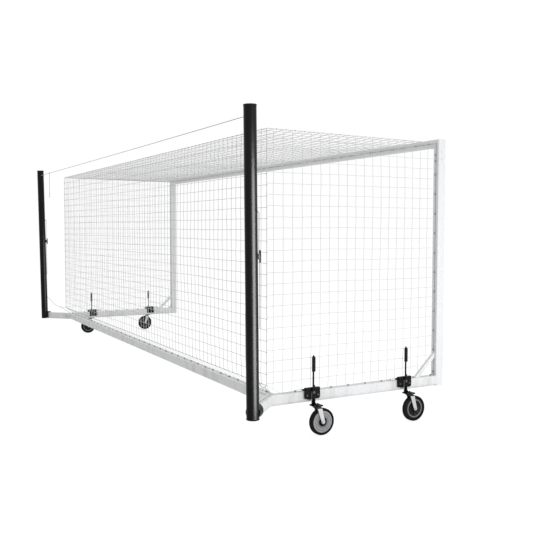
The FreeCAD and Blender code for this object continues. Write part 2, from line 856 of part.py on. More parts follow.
def from_post(x, y, z):
    """A point given about the right rear post's own axis."""
    base = from_mouth(number("rear_post_place"), number("rear_post_setback"), 0)
    return base + lean().multVec(Vector(x, y, z))


def flipped(shape):
    """A left-hand copy of a right-hand shape."""
    return shape.mirror(Vector(0, 0, 0), Vector(1, 0, 0))


def both_sides(name, shape):
    keep(name + "_right", solid_group(name + "_right", [shape]))
    keep(name + "_left", solid_group(name + "_left", [flipped(shape)]))


# How the slack corner cord hangs: at each bend, from the guide on the post to the net's corner, the
# shares of the way across, back and up.
CORNER_CORD_SHARES = (
    (0.882, 0.878, 0.821),
    (0.775, 0.732, 0.464),
    (0.567, 0.494, 0.143),
    (0.393, 0.297, 0.024),
    (0.023, 0.018, 0.001),
)


def ropes():
    """The taut cross rope, the halyards, the corner cords and the ropes inside the posts."""
    rope = number("rope_diameter")
    face = number("rear_post_diameter / 2")
    outer = face + number("bush_lip")
    top = number("cross_rope_height")
    exit_at = number("halyard_height")
    cleat = number("cleat_height")
    low = number("corner_cord_height")
    seat = outer - number("bush_lip") - 2
    end = from_post(-seat, 0, top)
    cross = rod("cross_rope_run", "rope_diameter / 2", 2 * end.x, -end.x, end.y, end.z, ALONG_X)
    keep("cross_rope", cross)
    beside = number("cleat_width") / 2 + rope / 2 + 1.5
    below = number("cleat_neck") / 2 + rope / 2 + 3
    first = -face - number("cleat_flange") - rope / 2 - 1
    second = -face - number("cleat_reach") + rope / 2 + 1
    halyard = tube([
        from_post(0, -seat, exit_at),
        from_post(0, -outer - 16, exit_at),
        from_post(1, -outer - 17, exit_at - 28),
        from_post(beside, first, cleat + below + 6),
        from_post(beside, first, cleat - below),
        from_post(-beside, (first + second) / 2, cleat - below),
        from_post(-beside, second, cleat + below),
        from_post(beside, second - 0.5, cleat + below),
        from_post(beside + 2, second - 1, cleat - below - 4),
        from_post(beside + 5, second + 6, number("halyard_end")),
    ], rope)
    both_sides("halyard", halyard)
    inside_bush = seat / SQRT_2
    outside_bush = (outer + 18) / SQRT_2
    corner = from_mouth(number("net_corner_place"), number("net_rear_setback"), number("net_low_corner"))
    guide = from_post(-outside_bush, -outside_bush, low)
    slack = [
        corner + Vector((guide.x - corner.x) * across, (guide.y - corner.y) * back, (guide.z - corner.z) * up)
        for across, back, up in CORNER_CORD_SHARES
    ]
    fork = slack[3]
    main = tube([from_post(-inside_bush, -inside_bush, low), guide] + slack, rope)
    branch_start = fork + Vector(-6, -7, -4.5)
    rail_top = number("section_depth") + rope / 2
    branch_end = from_mouth(number("rail_place") + 4, number("bar_setback") + 24, rail_top)
    along = branch_end - branch_start
    branch = Part.makeCylinder(rope / 2, along.Length, branch_start, along)
    both_sides("corner_cord", Part.makeCompound([main, branch]))
    inner = tube([
        from_post(-seat + 0.5, 0, top),
        from_post(-20, 0, top),
        from_post(-8, 0, top - 28),
        from_post(0, -8, exit_at + 32),
        from_post(0, -20, exit_at),
        from_post(0, -seat + 0.5, exit_at),
    ], rope)
    keep("inner_ropes", solid_group("inner_ropes", [inner, flipped(inner)]))
    return end


def drop_cord(rope_end):
    """A short cord with a snap hook, tied round the cross rope near the right-hand post."""
    knot = doc.addObject("Part::Torus", "drop_knot")
    bind(knot, Radius1="rope_diameter + seat_gap", Radius2="rope_diameter / 2")
    put(knot, "drop_cord_place", rope_end.y, rope_end.z, ALONG_X)
    knot_reach = "(1.5 * rope_diameter + seat_gap)"
    cord = rod(
        "drop_cord_run", "rope_diameter / 2", "drop_cord_length", "drop_cord_place", rope_end.y,
        f"{rope_end.z} - {knot_reach} - drop_cord_length",
    )
    keep("drop_cord", group("drop_cord_pieces", [knot, cord]))
    low = f"{rope_end.z} - {knot_reach} - drop_cord_length"
    ring = "(hook_width - hook_wire) / 2"
    barrel = number("hook_barrel")
    swivel_end = f"{low} - {barrel} - seat_gap"
    parts = [rod("hook_swivel", "hook_wire", barrel, "drop_cord_place", rope_end.y, swivel_end)]
    upper = f"{low} - {barrel} - {ring} + hook_wire / 4"
    lower = f"{low} - hook_length + hook_width / 2"
    for name, level, turn in (("hook_top", upper, -90), ("hook_bottom", lower, 90)):
        bow = doc.addObject("Part::Torus", name)
        bind(bow, Radius1=ring, Radius2="hook_wire / 2")
        bow.Angle3 = 180
        turned_up = App.Rotation(Vector(1, 0, 0), turn) * App.Rotation(Vector(0, 0, 1), 180)
        parts.append(put(bow, "drop_cord_place", rope_end.y, level, turned_up))
    for side in (-1, 1):
        parts.append(rod(
            "hook_side", "hook_wire / 2", f"({upper}) - ({lower})", f"drop_cord_place + {side} * {ring}",
            rope_end.y, lower,
        ))
    keep("snap_hook", join("hook_joined", parts))


def net_panel(corner, across, up, edge, columns, rows, width, height):
    """A panel of net: a flat sheet in a plane, with its outline and one hole for each gap."""
    strand = number("net_strand")
    thick = number("net_thickness")
    normal = across.cross(up).normalize()

    def at(u, v):
        return corner + across * u + up * v - normal * (thick / 2)

    sheet_face = Part.Face(Part.makePolygon([at(u, v) for u, v in edge + edge[:1]]))
    inner = Part.Face(sheet_face.makeOffset2D(-strand).OuterWire)
    holes = []
    pitch_u = (width - strand) / columns
    pitch_v = (height - strand) / rows
    for i in range(columns):
        for j in range(rows):
            left = strand + i * pitch_u
            low = strand + j * pitch_v
            right = left + pitch_u - strand
            high = low + pitch_v - strand
            square = [at(left, low), at(right, low), at(right, high), at(left, high), at(left, low)]
            holes.append(Part.Face(Part.makePolygon(square)).common(inner))
    holed = sheet_face.cut(Part.makeCompound(holes))
    panel = holed.Faces[0].extrude(normal * thick)
    print(f"net panel with {len(holed.Faces[0].Wires) - 1} gaps, {len(holed.Faces)} face")
    return panel


def nets():
    """The net's panels, each inside its border cords and the clips of the frame."""
    gap = number("border_gap")
    half = number("net_corner_place")
    rail = number("rail_place")
    back = number("net_rear_setback")
    top = number("net_rear_height")
    low = number("net_low_corner")
    bar = number("mouth_height + section_width / 2")
    clip = number("clip_top") + number("seat_gap")
    columns = int(number("net_columns"))
    rows = int(number("net_rows"))
    rear_wide = 2 * (half - gap)
    rear_tall = top - low - 2 * gap
    rear = net_panel(
        from_mouth(-half + gap, back, low + gap), Vector(1, 0, 0), Vector(0, 0, 1),
        [(0, 0), (rear_wide, 0), (rear_wide, rear_tall), (0, rear_tall)], columns, rows, rear_wide, rear_tall,
    )
    hem = from_mouth(0, number("bar_setback"), clip + number("net_thickness") / 2 / SQRT_2)
    border = from_mouth(0, back, low)
    slope = (border - hem).normalize()
    hem_tall = (border - hem).Length - gap
    narrow = number("mouth_width / 2") - 20
    wide = half - gap - 12
    hem_edge = [(wide - narrow, 0), (wide + narrow, 0), (2 * wide, hem_tall), (0, hem_tall)]
    hem_corner = hem - Vector(wide, 0, 0)
    skirt = net_panel(hem_corner, Vector(1, 0, 0), slope, hem_edge, columns, 1, 2 * wide, hem_tall)
    keep("net_rear", solid_group("net_rear", [rear, skirt]))
    front = from_mouth(0, clip, bar)
    rise = (from_mouth(0, back, top) - front).normalize()
    top_tall = (from_mouth(0, back, top) - front).Length - gap
    front_half = rail - gap
    rear_half = half - gap
    top_edge = [
        (rear_half - front_half, 0), (rear_half + front_half, 0),
        (2 * rear_half, top_tall), (0, top_tall),
    ]
    corner = front - Vector(rear_half, 0, 0)
    roof = net_panel(corner, Vector(1, 0, 0), rise, top_edge, columns, rows, 2 * rear_half, top_tall)
    keep("net_top", solid_group("net_top", [roof]))
    start = from_mouth(rail, clip, clip)
    along = Vector(half - rail, back - clip, 0)
    side_long = along.Length - gap
    along.normalize()
    brace_y = number("brace_run") + 10 - clip
    brace_z = number("brace_rise") + 10 - clip
    side_edge = [
        (brace_y, 0), (number("bar_setback") - 60 - clip, 0), (side_long, low - clip + gap),
        (side_long, top - clip - gap), (0, bar - clip - gap), (0, brace_z),
    ]
    side = net_panel(start, along, Vector(0, 0, 1), side_edge, rows, rows, side_long, top - clip - gap)
    both_sides("net", side)


def net_borders():
    """The net's border cords: round the rear panel and along the top edges of the sides."""
    half = number("net_corner_place")
    gap = number("border_gap")
    border = number("border_diameter") / 2
    back = number("net_rear_setback")
    level = [number("net_low_corner"), number("net_rear_height")]
    strands = []
    for height in level:
        strands.append(Part.makeCylinder(border, 2 * half, from_mouth(-half, back, height), Vector(1, 0, 0)))
    upright = Part.makeCylinder(border, level[1] - level[0] - 2 * gap, from_mouth(half, back, level[0] + gap))
    crossbar_level = number("mouth_height + section_width / 2")
    front = from_mouth(number("rail_place"), number("section_depth + seat_gap"), crossbar_level)
    rear = from_mouth(half, back, level[1])
    slope = (rear - front).normalize()
    length = (rear - front).Length - gap - 1
    side = Part.makeCylinder(border, length, front, slope)
    for shape in (upright, side):
        strands.append(shape)
        strands.append(flipped(shape))
    keep("net_border_cord", solid_group("net_border_cord", strands))


def clip_places():
    """Where the clips stand: along each member, with the direction that its channel faces."""
    pitch = number("clip_pitch")
    first = number("clip_first")
    second = number("clip_second")
    rail = number("rail_place")
    bar = number("mouth_height + section_width / 2")
    depth = number("section_depth")
    saddle = number("saddle_length + clip_length") / 2 + 4
    places = []
    heights = [first]
    while second + len(heights[1:]) * pitch < number("mouth_height") - 60:
        heights.append(second + len(heights[1:]) * pitch)
    setbacks = [first]
    while second + len(setbacks[1:]) * pitch < number("bar_setback - section_width"):
        setbacks.append(second + len(setbacks[1:]) * pitch)
    for side in (-1, 1):
        for height in heights:
            places.append((from_mouth(side * rail, depth, height), NOTHING))
        for setback in setbacks:
            clear = all(abs(setback - number(unit)) > saddle for unit in UNITS)
            if clear:
                places.append((from_mouth(side * rail, setback, depth), App.Rotation(Vector(1, 0, 0), 90)))
    count = int(number("mouth_width") / pitch / 2)
    for i in range(-count, count + 1):
        places.append((from_mouth(i * pitch, depth, bar), App.Rotation(Vector(0, 1, 0), -90)))
        places.append((from_mouth(i * pitch, number("bar_setback"), depth), FACING_X))
    return places


def net_clips():
    """Snap-in hooks along the net channels."""
    profile = [
        ("-channel_mouth / 2 + 0.5", "-clip_foot", None),
        ("channel_mouth / 2 - 0.5", "-clip_foot", None),
        ("channel_mouth / 2 - 0.5", "2", None),
        ("0", "2", None),
        ("0", "clip_reach - 3", None),
        ("3.5", "clip_reach - 3", None),
        ("3.5", "clip_reach - 7", None),
        ("6.5", "clip_reach - 7", None),
        ("6.5", "clip_reach", None),
        ("-channel_mouth / 2 + 0.5", "clip_reach", None),
    ]
    one = run("clip", drawing("clip_section", profile, z="-clip_length / 2"), Vector(0, 0, 1), "clip_length")
    doc.recompute()
    shapes = []
    for place, turn in clip_places():
        shape = one.Shape.copy()
        shape.Placement = App.Placement(place, turn)
        shapes.append(shape)
    keep("net_clips", solid_group("net_clips", shapes))


def frame_bolts():
    """Hexagon bolts: those of the top corners, and the ones that clamp the wheel brackets to the rails."""
    shank = rod("bolt_shank", "bolt_diameter / 2", "bolt_grip", z="-bolt_grip")
    head = hexagon("bolt_head_form", "bolt_head", "bolt_head_height")
    short = join("bolt", [shank, head])
    long_shank = rod("clamp_shank", "bolt_diameter / 2", "clamp_grip", z="-clamp_grip")
    near = hexagon("clamp_head", "bolt_head", "bolt_head_height")
    far = hexagon("clamp_nut", "bolt_head", "bolt_head_height", z="-clamp_grip - bolt_head_height")
    clamp = join("clamp_bolt", [long_shank, near, far])
    doc.recompute()
    shapes = []

    def add(master, x, y, z, turn):
        shape = master.Shape.copy()
        shape.Placement = App.Placement(Vector(number(x), number(y), number(z)), turn)
        shapes.append(shape)
        shapes.append(flipped(shape))

    for place in corner_bolt_places():
        add(short, *place)
    for unit in UNITS:
        for side in (-1, 1):
            setback = f"nose_plane + {unit} + {side} * clamp_bolt_spread"
            add(clamp, "rail_face + bolt_seat", setback, "underside + clamp_bolt_height", ALONG_X)
    keep("frame_bolts", solid_group("frame_bolts", shapes))


def wheel_bracket():
    """The bracket of a wheel unit: housing with saddle and plunger sleeve, two cheeks and a clamp plate."""
    half = "bracket_length / 2"
    flank = [
        (f"-{half}", "bracket_bottom", "bracket_round"),
        (half, "bracket_bottom", "bracket_round"),
        (half, "bracket_top", "bracket_round / 5"),
        (f"-{half}", "bracket_top", "bracket_round / 5"),
    ]
    flat = drawing("housing_outline", flank, turn=FACING_X)
    housing = run("housing", flat, Vector(1, 0, 0), "housing_depth")
    saddle = block(
        "saddle", "section_width + saddle_thickness + 1", "saddle_length", "saddle_thickness",
        "-section_width - saddle_thickness", "-saddle_length / 2", "section_depth",
    )
    sleeve_end = f"-{half} - sleeve_length"
    sleeve = rod(
        "sleeve", "sleeve_diameter / 2", "sleeve_length", "lock_axis", sleeve_end, "lock_level", ALONG_Y,
    )
    room = "disc_radius + disc_gap"
    tools = [
        rod("disc_pocket", room, "housing_depth", "housing_floor", "0", "pivot_height", ALONG_X),
        rod("pin_seat", "pin_diameter / 2", "housing_depth", "-1", "0", "pivot_height", ALONG_X),
        rod(
            "plunger_bore", "lock_diameter / 2 + running_gap", f"{half} + sleeve_length", "lock_axis",
            f"{sleeve_end} - 1", "lock_level", ALONG_Y,
        ),
    ]
    bolts = []
    sockets = []
    for side in (-1, 1):
        place = f"{side} * clamp_bolt_spread"
        bolts.append(rod(
            "bracket_bolt_hole", "bolt_diameter / 2 + seat_gap", "clamp_grip + 4",
            "-section_width - saddle_thickness - 2", place, "clamp_bolt_height", ALONG_X,
        ))
        sockets.append(rod(
            "bolt_head_socket", "bolt_socket / 2", "bolt_head_height + 1",
            "bolt_seat", place, "clamp_bolt_height", ALONG_X,
        ))
    body = cut_all("bracket_housing", join("bracket_joined", [housing, saddle, sleeve]), tools + bolts)
    cheeks = []
    for side, name in ((-1, "cheek_near"), (1, "cheek_far")):
        inner = f"{side} * cheek_gap / 2"
        outer = f"{side} * {half}"
        cheek = [
            (inner, "bracket_bottom", None),
            (outer, "bracket_bottom", "bracket_round"),
            (outer, "bracket_top", "bracket_round / 5"),
            (inner, "bracket_top", "bracket_round / 5"),
        ]
        if side < 0:
            cheek.reverse()
        flat = drawing(name + "_outline", cheek, x="housing_depth", turn=FACING_X)
        plate = run(name + "_plate", flat, Vector(1, 0, 0), "cheek_depth")
        cheeks.append(cut_all(name, plate, bolts + sockets))
    clamp_outline = [
        ("-clamp_length / 2", "bracket_bottom", "8"),
        ("clamp_length / 2", "bracket_bottom", "8"),
        ("clamp_length / 2", "section_depth", None),
        ("-clamp_length / 2", "section_depth", None),
    ]
    flat = drawing("clamp_outline", clamp_outline, x="-section_width - saddle_thickness", turn=FACING_X)
    clamp = run("clamp_plate", flat, Vector(1, 0, 0), "saddle_thickness")
    return group("bracket", [body] + cheeks + [cut_all("clamp_cut", clamp, bolts)])


def pivot_pin():
    """The pin on which the lever turns, with its head and washer outside the lever."""
    outside = "lever_place + lever_thickness"
    shank = rod("pin_shank", "pin_diameter / 2", f"{outside} + 3", "0.5", "0", "pivot_height", ALONG_X)
    washer_face = f"{outside} + seat_gap"
    washer = rod("pin_washer", "pin_diameter / 2 + 6", "2", washer_face, "0", "pivot_height", ALONG_X)
    head_face = washer_face + " + 2"
    head = hexagon(
        "pin_head", "pin_diameter + 8", "pin_diameter / 2", head_face, "0", "pivot_height", ALONG_X,
    )
    return join("pin", [shank, washer, head])


def lever():
    """The lever: stem, arm and locking disc in one piece with the plate that carries the castor."""
    body = new_body("lever")
    stem = "stem_width / 2"
    arm = "arm_width / 2"
    shoulder = "pivot_height + hub_radius"
    neck = "bracket_top + 8"
    lug = f"{stem} + lug_width"
    side = on_plane(body, "lever_side", "YZ_Plane", "lever_place")
    outline(side, [
        (f"-{arm}", "-plate_under", None),
        (arm, "-plate_under", None),
        (arm, shoulder, "8"),
        (stem, neck, None),
        (lug, neck, "2"),
        (lug, f"{neck} + lug_height", "2"),
        (stem, f"{neck} + lug_height", None),
        (stem, "stem_top + tang_length", "3"),
        (f"-{stem}", "stem_top + tang_length", "3"),
        (f"-{stem}", neck, "8"),
        (f"-{arm}", shoulder, "8"),
    ])
    pad(body, "lever_pad", side, "lever_thickness")
    boss = on_plane(body, "lever_boss", "YZ_Plane", "lever_place")
    circle(boss, "0", "pivot_height", "hub_radius")
    pad(body, "boss_pad", boss, "lever_place - housing_floor - 1", backwards=True)
    disc = on_plane(body, "lever_disc", "YZ_Plane", "housing_floor + 1")
    circle(disc, "0", "pivot_height", "disc_radius")
    pad(body, "disc_pad", disc, "housing_depth - housing_floor - 2")
    notches = on_plane(body, "lever_notches", "YZ_Plane", "housing_floor + 1")
    slot = "lock_diameter / 2 + running_gap"
    deep = "disc_radius / 2 - 1"
    outline(notches, [
        ("-disc_radius - 2", f"lock_level - ({slot})", None),
        (f"-({deep})", f"lock_level - ({slot})", "2"),
        (f"-({deep})", f"lock_level + {slot}", "2"),
        ("-disc_radius - 2", f"lock_level + {slot}", None),
    ])
    outline(notches, [
        (f"-lock_height - ({slot})", "pivot_height - disc_radius - 2", None),
        (f"-lock_height + {slot}", "pivot_height - disc_radius - 2", None),
        (f"-lock_height + {slot}", f"pivot_height - ({deep})", "2"),
        (f"-lock_height - ({slot})", f"pivot_height - ({deep})", "2"),
    ])
    pocket(body, "notch_pocket", notches, "housing_depth - housing_floor - 2", backwards=True)
    plate = on_plane(body, "castor_plate", "XY_Plane", "-plate_under")
    outline(plate, [
        ("lever_place", "-plate_length / 2", "10"),
        ("plate_reach", "-plate_length / 2", "16"),
        ("plate_reach", "plate_length / 2", "16"),
        ("lever_place", "plate_length / 2", "10"),
    ])
    circle(plate, "swivel_reach", "0", "kingpin_diameter / 2 + running_gap")
    pad(body, "plate_pad", plate, "plate_thickness")
    rib = on_plane(body, "plate_rib", "XZ_Plane")
    outside = "lever_place + lever_thickness"
    outline(rib, [
        (f"{outside} - 2", "-plate_drop - 1", None),
        ("swivel_reach - kingpin_diameter", "-plate_drop - 1", None),
        (f"{outside} - 2", "pivot_height / 2", None),
    ])
    pad(body, "rib_pad", rib, "lever_thickness * 0.8", both_ways=True)
    bore = on_plane(body, "lever_bore", "YZ_Plane")
    circle(bore, "0", "pivot_height", "pin_diameter / 2 + running_gap")
    pocket(body, "bore_pocket", bore, both_ways=True)
    return body


def lever_grip():
    """The black grip pushed on the lever's tang, with a pointed top."""
    body = new_body("grip")
    half = "grip_width / 2"
    front = on_plane(body, "grip_front", "YZ_Plane", "lever_place + lever_thickness / 2")
    outline(front, [
        (f"-{half} + 3", "stem_top", None),
        (f"{half} - 3", "stem_top", None),
        (half, "stem_top + grip_length * 0.3", None),
        (half, "stem_top + grip_length * 0.8", None),
        ("4", "stem_top + grip_length", None),
        ("-4", "stem_top + grip_length", None),
        (f"-{half}", "stem_top + grip_length * 0.8", None),
        (f"-{half}", "stem_top + grip_length * 0.3", None),
    ])
    solid = pad(body, "grip_pad", front, "grip_depth", both_ways=True)
    doc.recompute()
    rounding = body.newObject("PartDesign::Fillet", "grip_rounding")
    rounding.Base = (solid, [f"Edge{i + 1}" for i in range(len(solid.Shape.Edges))])
    bind(rounding, Radius="grip_depth / 8")
    tang = on_plane(body, "grip_tang", "XY_Plane", "stem_top")
    wide = "stem_width / 2 + running_gap"
    low = "lever_place - running_gap"
    high = "lever_place + lever_thickness + running_gap"
    outline(tang, [
        (low, f"-({wide})", None),
        (high, f"-({wide})", None),
        (high, wide, None),
        (low, wide, None),
    ])
    pocket(body, "tang_pocket", tang, "tang_length + running_gap", backwards=True)
    return body


def lock_plunger():
    """The plunger that locks the lever, turned in one piece. It is drawn back, just clear of the disc."""
    body = new_body("plunger")
    half = on_plane(body, "plunger_section", "YZ_Plane", "lock_axis")
    face = "bracket_length / 2 + sleeve_length + lock_travel + running_gap"
    nose = "lock_edge + running_gap * 2"
    knob = "knob_diameter / 2"
    outline(half, [
        (f"-({nose})", "lock_level", None),
        (f"-({face} + knob_length)", "lock_level", None),
        (f"-({face} + knob_length)", f"lock_level + {knob} * 0.8", "4"),
        (f"-({face} + knob_length * 0.6)", f"lock_level + {knob}", None),
        (f"-({face} + knob_length * 0.45)", f"lock_level + {knob} * 0.75", "8"),
        (f"-({face} + knob_length * 0.2)", f"lock_level + {knob}", None),
        (f"-({face})", f"lock_level + {knob}", "2"),
        (f"-({face})", "lock_level + lock_diameter / 2", None),
        (f"-({nose} + 2)", "lock_level + lock_diameter / 2", None),
        (f"-({nose})", "lock_level + lock_diameter / 2 - 1.5", None),
    ])
    thing = body.newObject("PartDesign::Revolution", "plunger_turned")
    thing.Profile = half
    level = number("lock_level")
    line = half.addGeometry(Part.LineSegment(Vector(-200, level, 0), Vector(-20, level, 0)), True)
    hold(half, "axis_a", line, 1, "-lock_edge - 200", "lock_level")
    hold(half, "axis_b", line, 2, "-lock_edge", "lock_level")
    thing.ReferenceAxis = (half, ["Axis0"])
    thing.Angle = 360
    return body


def castor_fork():
    """The castor's fork: kingpin with its nut, swivel head, crown and two tapered legs."""
    body = new_body("fork")
    half = on_plane(body, "head_section", "XZ_Plane")
    middle = "swivel_reach"
    pin = "kingpin_diameter / 2"
    head = "head_diameter / 2"
    outline(half, [
        (middle, "-crown_top - 1", None),
        (f"{middle} + {head} - 8", "-crown_top - 1", None),
        (f"{middle} + {head}", "-crown_top + 3", None),
        (f"{middle} + {head}", "-head_top - 4", None),
        (f"{middle} + {head} - 4", "-head_top", None),
        (f"{middle} + {pin}", "-head_top", None),
        (f"{middle} + {pin}", "-plate_drop + seat_gap", None),
        (f"{middle} + {pin} + 5", "-plate_drop + seat_gap", None),
        (f"{middle} + {pin} + 5", "-plate_drop + 10", "2"),
        (middle, "-plate_drop + 10", None),
    ])
    place = number(middle)
    line = half.addGeometry(Part.LineSegment(Vector(place, -10, 0), Vector(place, 10, 0)), True)
    hold(half, "axis_a", line, 1, middle, "-10")
    hold(half, "axis_b", line, 2, middle, "10")
    round_head = body.newObject("PartDesign::Revolution", "head_turned")
    round_head.Profile = half
    round_head.ReferenceAxis = (half, ["Axis0"])
    round_head.Angle = 360
    legs = on_plane(body, "fork_legs", "YZ_Plane", middle)
    tapered_leg(legs)
    pad(body, "legs_pad", legs, "fork_width", both_ways=True)
    slot = on_plane(body, "fork_slot", "YZ_Plane", middle)
    outline(slot, [
        ("-wheel_diameter", "-axle_drop - wheel_diameter", None),
        ("wheel_diameter", "-axle_drop - wheel_diameter", None),
        ("wheel_diameter", "-crown_top - crown_thickness", None),
        ("-wheel_diameter", "-crown_top - crown_thickness", None),
    ])
    pocket(body, "slot_pocket", slot, "fork_gap", both_ways=True)
    bore = on_plane(body, "axle_bore", "YZ_Plane", middle)
    circle(bore, "trail", "-axle_drop", "axle_diameter / 2")
    pocket(body, "axle_pocket", bore, both_ways=True)
    return body


def tapered_leg(sketch):
    """The leg's side outline: a wide top on the crown and a round end about the axle."""
    left = (number("fork_shift - fork_top / 2"), -number("crown_top"))
    right = (number("fork_shift + fork_top / 2"), -number("crown_top"))
    centre = (number("trail"), -number("axle_drop"))
    radius = number("fork_tip / 2")

    def touch(point, sign):
        dx = point[0] - centre[0]
        dy = point[1] - centre[1]
        reach = math.hypot(dx, dy)
        angle = math.atan2(dy, dx) + sign * math.acos(radius / reach)
        return angle, Vector(centre[0] + radius * math.cos(angle), centre[1] + radius * math.sin(angle), 0)

    start_angle, left_touch = touch(left, 1)
    end_angle, right_touch = touch(right, -1)
    circle_form = Part.Circle(Vector(*centre, 0), Vector(0, 0, 1), radius)
    arc = sketch.addGeometry(Part.ArcOfCircle(circle_form, start_angle, end_angle + 2 * math.pi), False)
    down = sketch.addGeometry(Part.LineSegment(Vector(*left, 0), left_touch), False)
    up = sketch.addGeometry(Part.LineSegment(right_touch, Vector(*right, 0)), False)
    top = sketch.addGeometry(Part.LineSegment(Vector(*right, 0), Vector(*left, 0)), False)
    hold(sketch, "leg_left", down, 1, "fork_shift - fork_top / 2", "-crown_top")
    hold(sketch, "leg_right", up, 2, "fork_shift + fork_top / 2", "-crown_top")
    hold(sketch, "leg_axle", arc, 3, "trail", "-axle_drop")
    sketch.addConstraint(Sketcher.Constraint("Coincident", up, 2, top, 1))
    sketch.addConstraint(Sketcher.Constraint("Coincident", top, 2, down, 1))
    sketch.addConstraint(Sketcher.Constraint("Tangent", down, 2, arc, 1))
    sketch.addConstraint(Sketcher.Constraint("Tangent", up, 1, arc, 2))
    measured(sketch, "leg_end", Sketcher.Constraint("Radius", arc, radius), "fork_tip / 2")


def axle_bolt():
    """The wheel's axle: a bolt through both legs with its head and nut."""
    inner = "swivel_reach - fork_width / 2"
    place = ("trail", "-axle_drop", ALONG_X)
    shank = rod("axle_shank", "axle_diameter / 2", "fork_width + 2", f"{inner} - 1", *place)
    head = hexagon("axle_head_form", "axle_head", "axle_head_height", "swivel_reach + fork_width / 2", *place)
    nut = hexagon("axle_nut", "axle_head", "axle_head_height", f"{inner} - axle_head_height", *place)
    return join("axle_joined", [shank, head, nut])


def both_flanks(points):
    """A wheel's section, from its points on one flank, as radius and half width."""
    return points + [(radius, f"-({half})", rounding) for radius, half, rounding in reversed(points)]


def wheel_form(name, flank):
    """A wheel's part turned about the axle, from the section of one flank."""
    body = new_body(name)
    section = on_plane(body, name + "_section", "XY_Plane")
    outline(section, both_flanks(flank))
    turned(body, name + "_turned", section)
    return body


def wheel_hub():
    groove = "groove_radius - groove_width / 2"
    face = "rim_width / 2"
    return wheel_form("hub", [
        ("axle_diameter / 2 + running_gap", "fork_gap / 2 - running_gap", None),
        ("wheel_hub_diameter / 2 - 3", "fork_gap / 2 - running_gap", None),
        ("wheel_hub_diameter / 2", "wheel_disc / 2 - 4", None),
        (f"{groove} - 10", "wheel_disc / 2 - 4", None),
        (groove, face, None),
        ("rim_diameter / 2 - 6", face, None),
        ("rim_diameter / 2", f"{face} - 6", None),
    ])


def wheel_tyre():
    bore = "rim_diameter / 2 + running_gap"
    outer = "wheel_diameter / 2"
    side = "wheel_width / 2"
    return wheel_form("tyre", [
        (bore, "rim_width / 2 - 1", None),
        (f"{bore} + 3", side, "2"),
        (outer, side, "tyre_round"),
    ])


def wheel_units():
    """Four alike wheel units, two on each rail; the left ones are the right ones turned half round."""
    masters = {
        "lever": lever(),
        "grip": lever_grip(),
        "lock_plunger": lock_plunger(),
        "castor_fork": castor_fork(),
        "axle": axle_bolt(),
    }
    wheel = {"wheel_hub": wheel_hub(), "tyre": wheel_tyre()}
    bracket = wheel_bracket()
    pin = pivot_pin()
    brackets = []
    pins = []
    lying = App.Rotation(Vector(0, 0, 1), -90)
    half_turn = App.Rotation(Vector(0, 0, 1), 180)
    for side_name, side, turn in (("left", LEFT, half_turn), ("right", RIGHT, NOTHING)):
        for unit in UNITS:
            place = {"x": f"{side} * rail_face", "y": f"nose_plane + {unit}", "z": "underside", "turn": turn}
            end = "_" + side_name + "_" + unit.split("_")[0]
            for name, master in masters.items():
                keep(name + end, put(group(name + end, [master]), **place))
            for name, master in wheel.items():
                copy = put(
                    group(name + end, [master]), f"{side} * (rail_face + swivel_reach)",
                    f"nose_plane + {unit} + {side} * trail", "wheel_diameter / 2", turn * lying,
                )
                keep(name + end, copy)
            brackets.append(put(group("bracket" + end, [bracket]), **place))
            pins.append(put(group("pin" + end, [pin]), **place))
    keep("wheel_brackets", group("brackets", brackets))
    keep("pivot_pins", group("pins", pins))


def write_parts():
    """Checks every object and every sub-part, then writes one file for each sub-part."""
    doc.recompute()
    for thing in doc.Objects:
        if "Invalid" in thing.State or "Error" in thing.State:
            raise RuntimeError(f"{thing.Name} failed: {thing.State}")
    for name, thing in nodes.items():
        if thing.Shape.isNull() or not thing.Shape.isValid() or not thing.Shape.Solids:
            raise RuntimeError(f"{name} has no valid solid")
    os.makedirs("parts", exist_ok=True)
    for name, thing in nodes.items():
        thing.Shape.exportStep(f"parts/{name}.step")
        print(f"{name}: {len(thing.Shape.Solids)} solids, {thing.Shape.Volume / 1000:.1f} cm3")
    print(f"{len(nodes)} sub-parts")


bolt_holes = corner_bolt_holes()
goalposts_and_crossbar(bolt_holes)
corner_inserts(bolt_holes)
rail_outside = rails_and_ground_bar()
corner_braces()
rear_posts()
post_sockets(rail_outside)
cross_rope_end = ropes()
drop_cord(cross_rope_end)
nets()
net_borders()
net_clips()
frame_bolts()
wheel_units()
write_parts()
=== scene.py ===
# %% [markdown]
# # A portable football goal
# A full-size goal of the box kind: a white aluminium frame with a net, two black posts behind it that
# hold the net back by rope, and four castor wheels on levers that lift the frame off the grass. The hard
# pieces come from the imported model, the fixed frame. This lesson gives them their finishes and makes the
# ropes, the net, the clips, the wheels and the small fittings around them. The noise that moves the net and
# the welds starts from one fixed seed, so every run gives the same goal.

# %% Load the frame
import math

import bmesh
import bpy
from mathutils import Matrix, Vector, noise


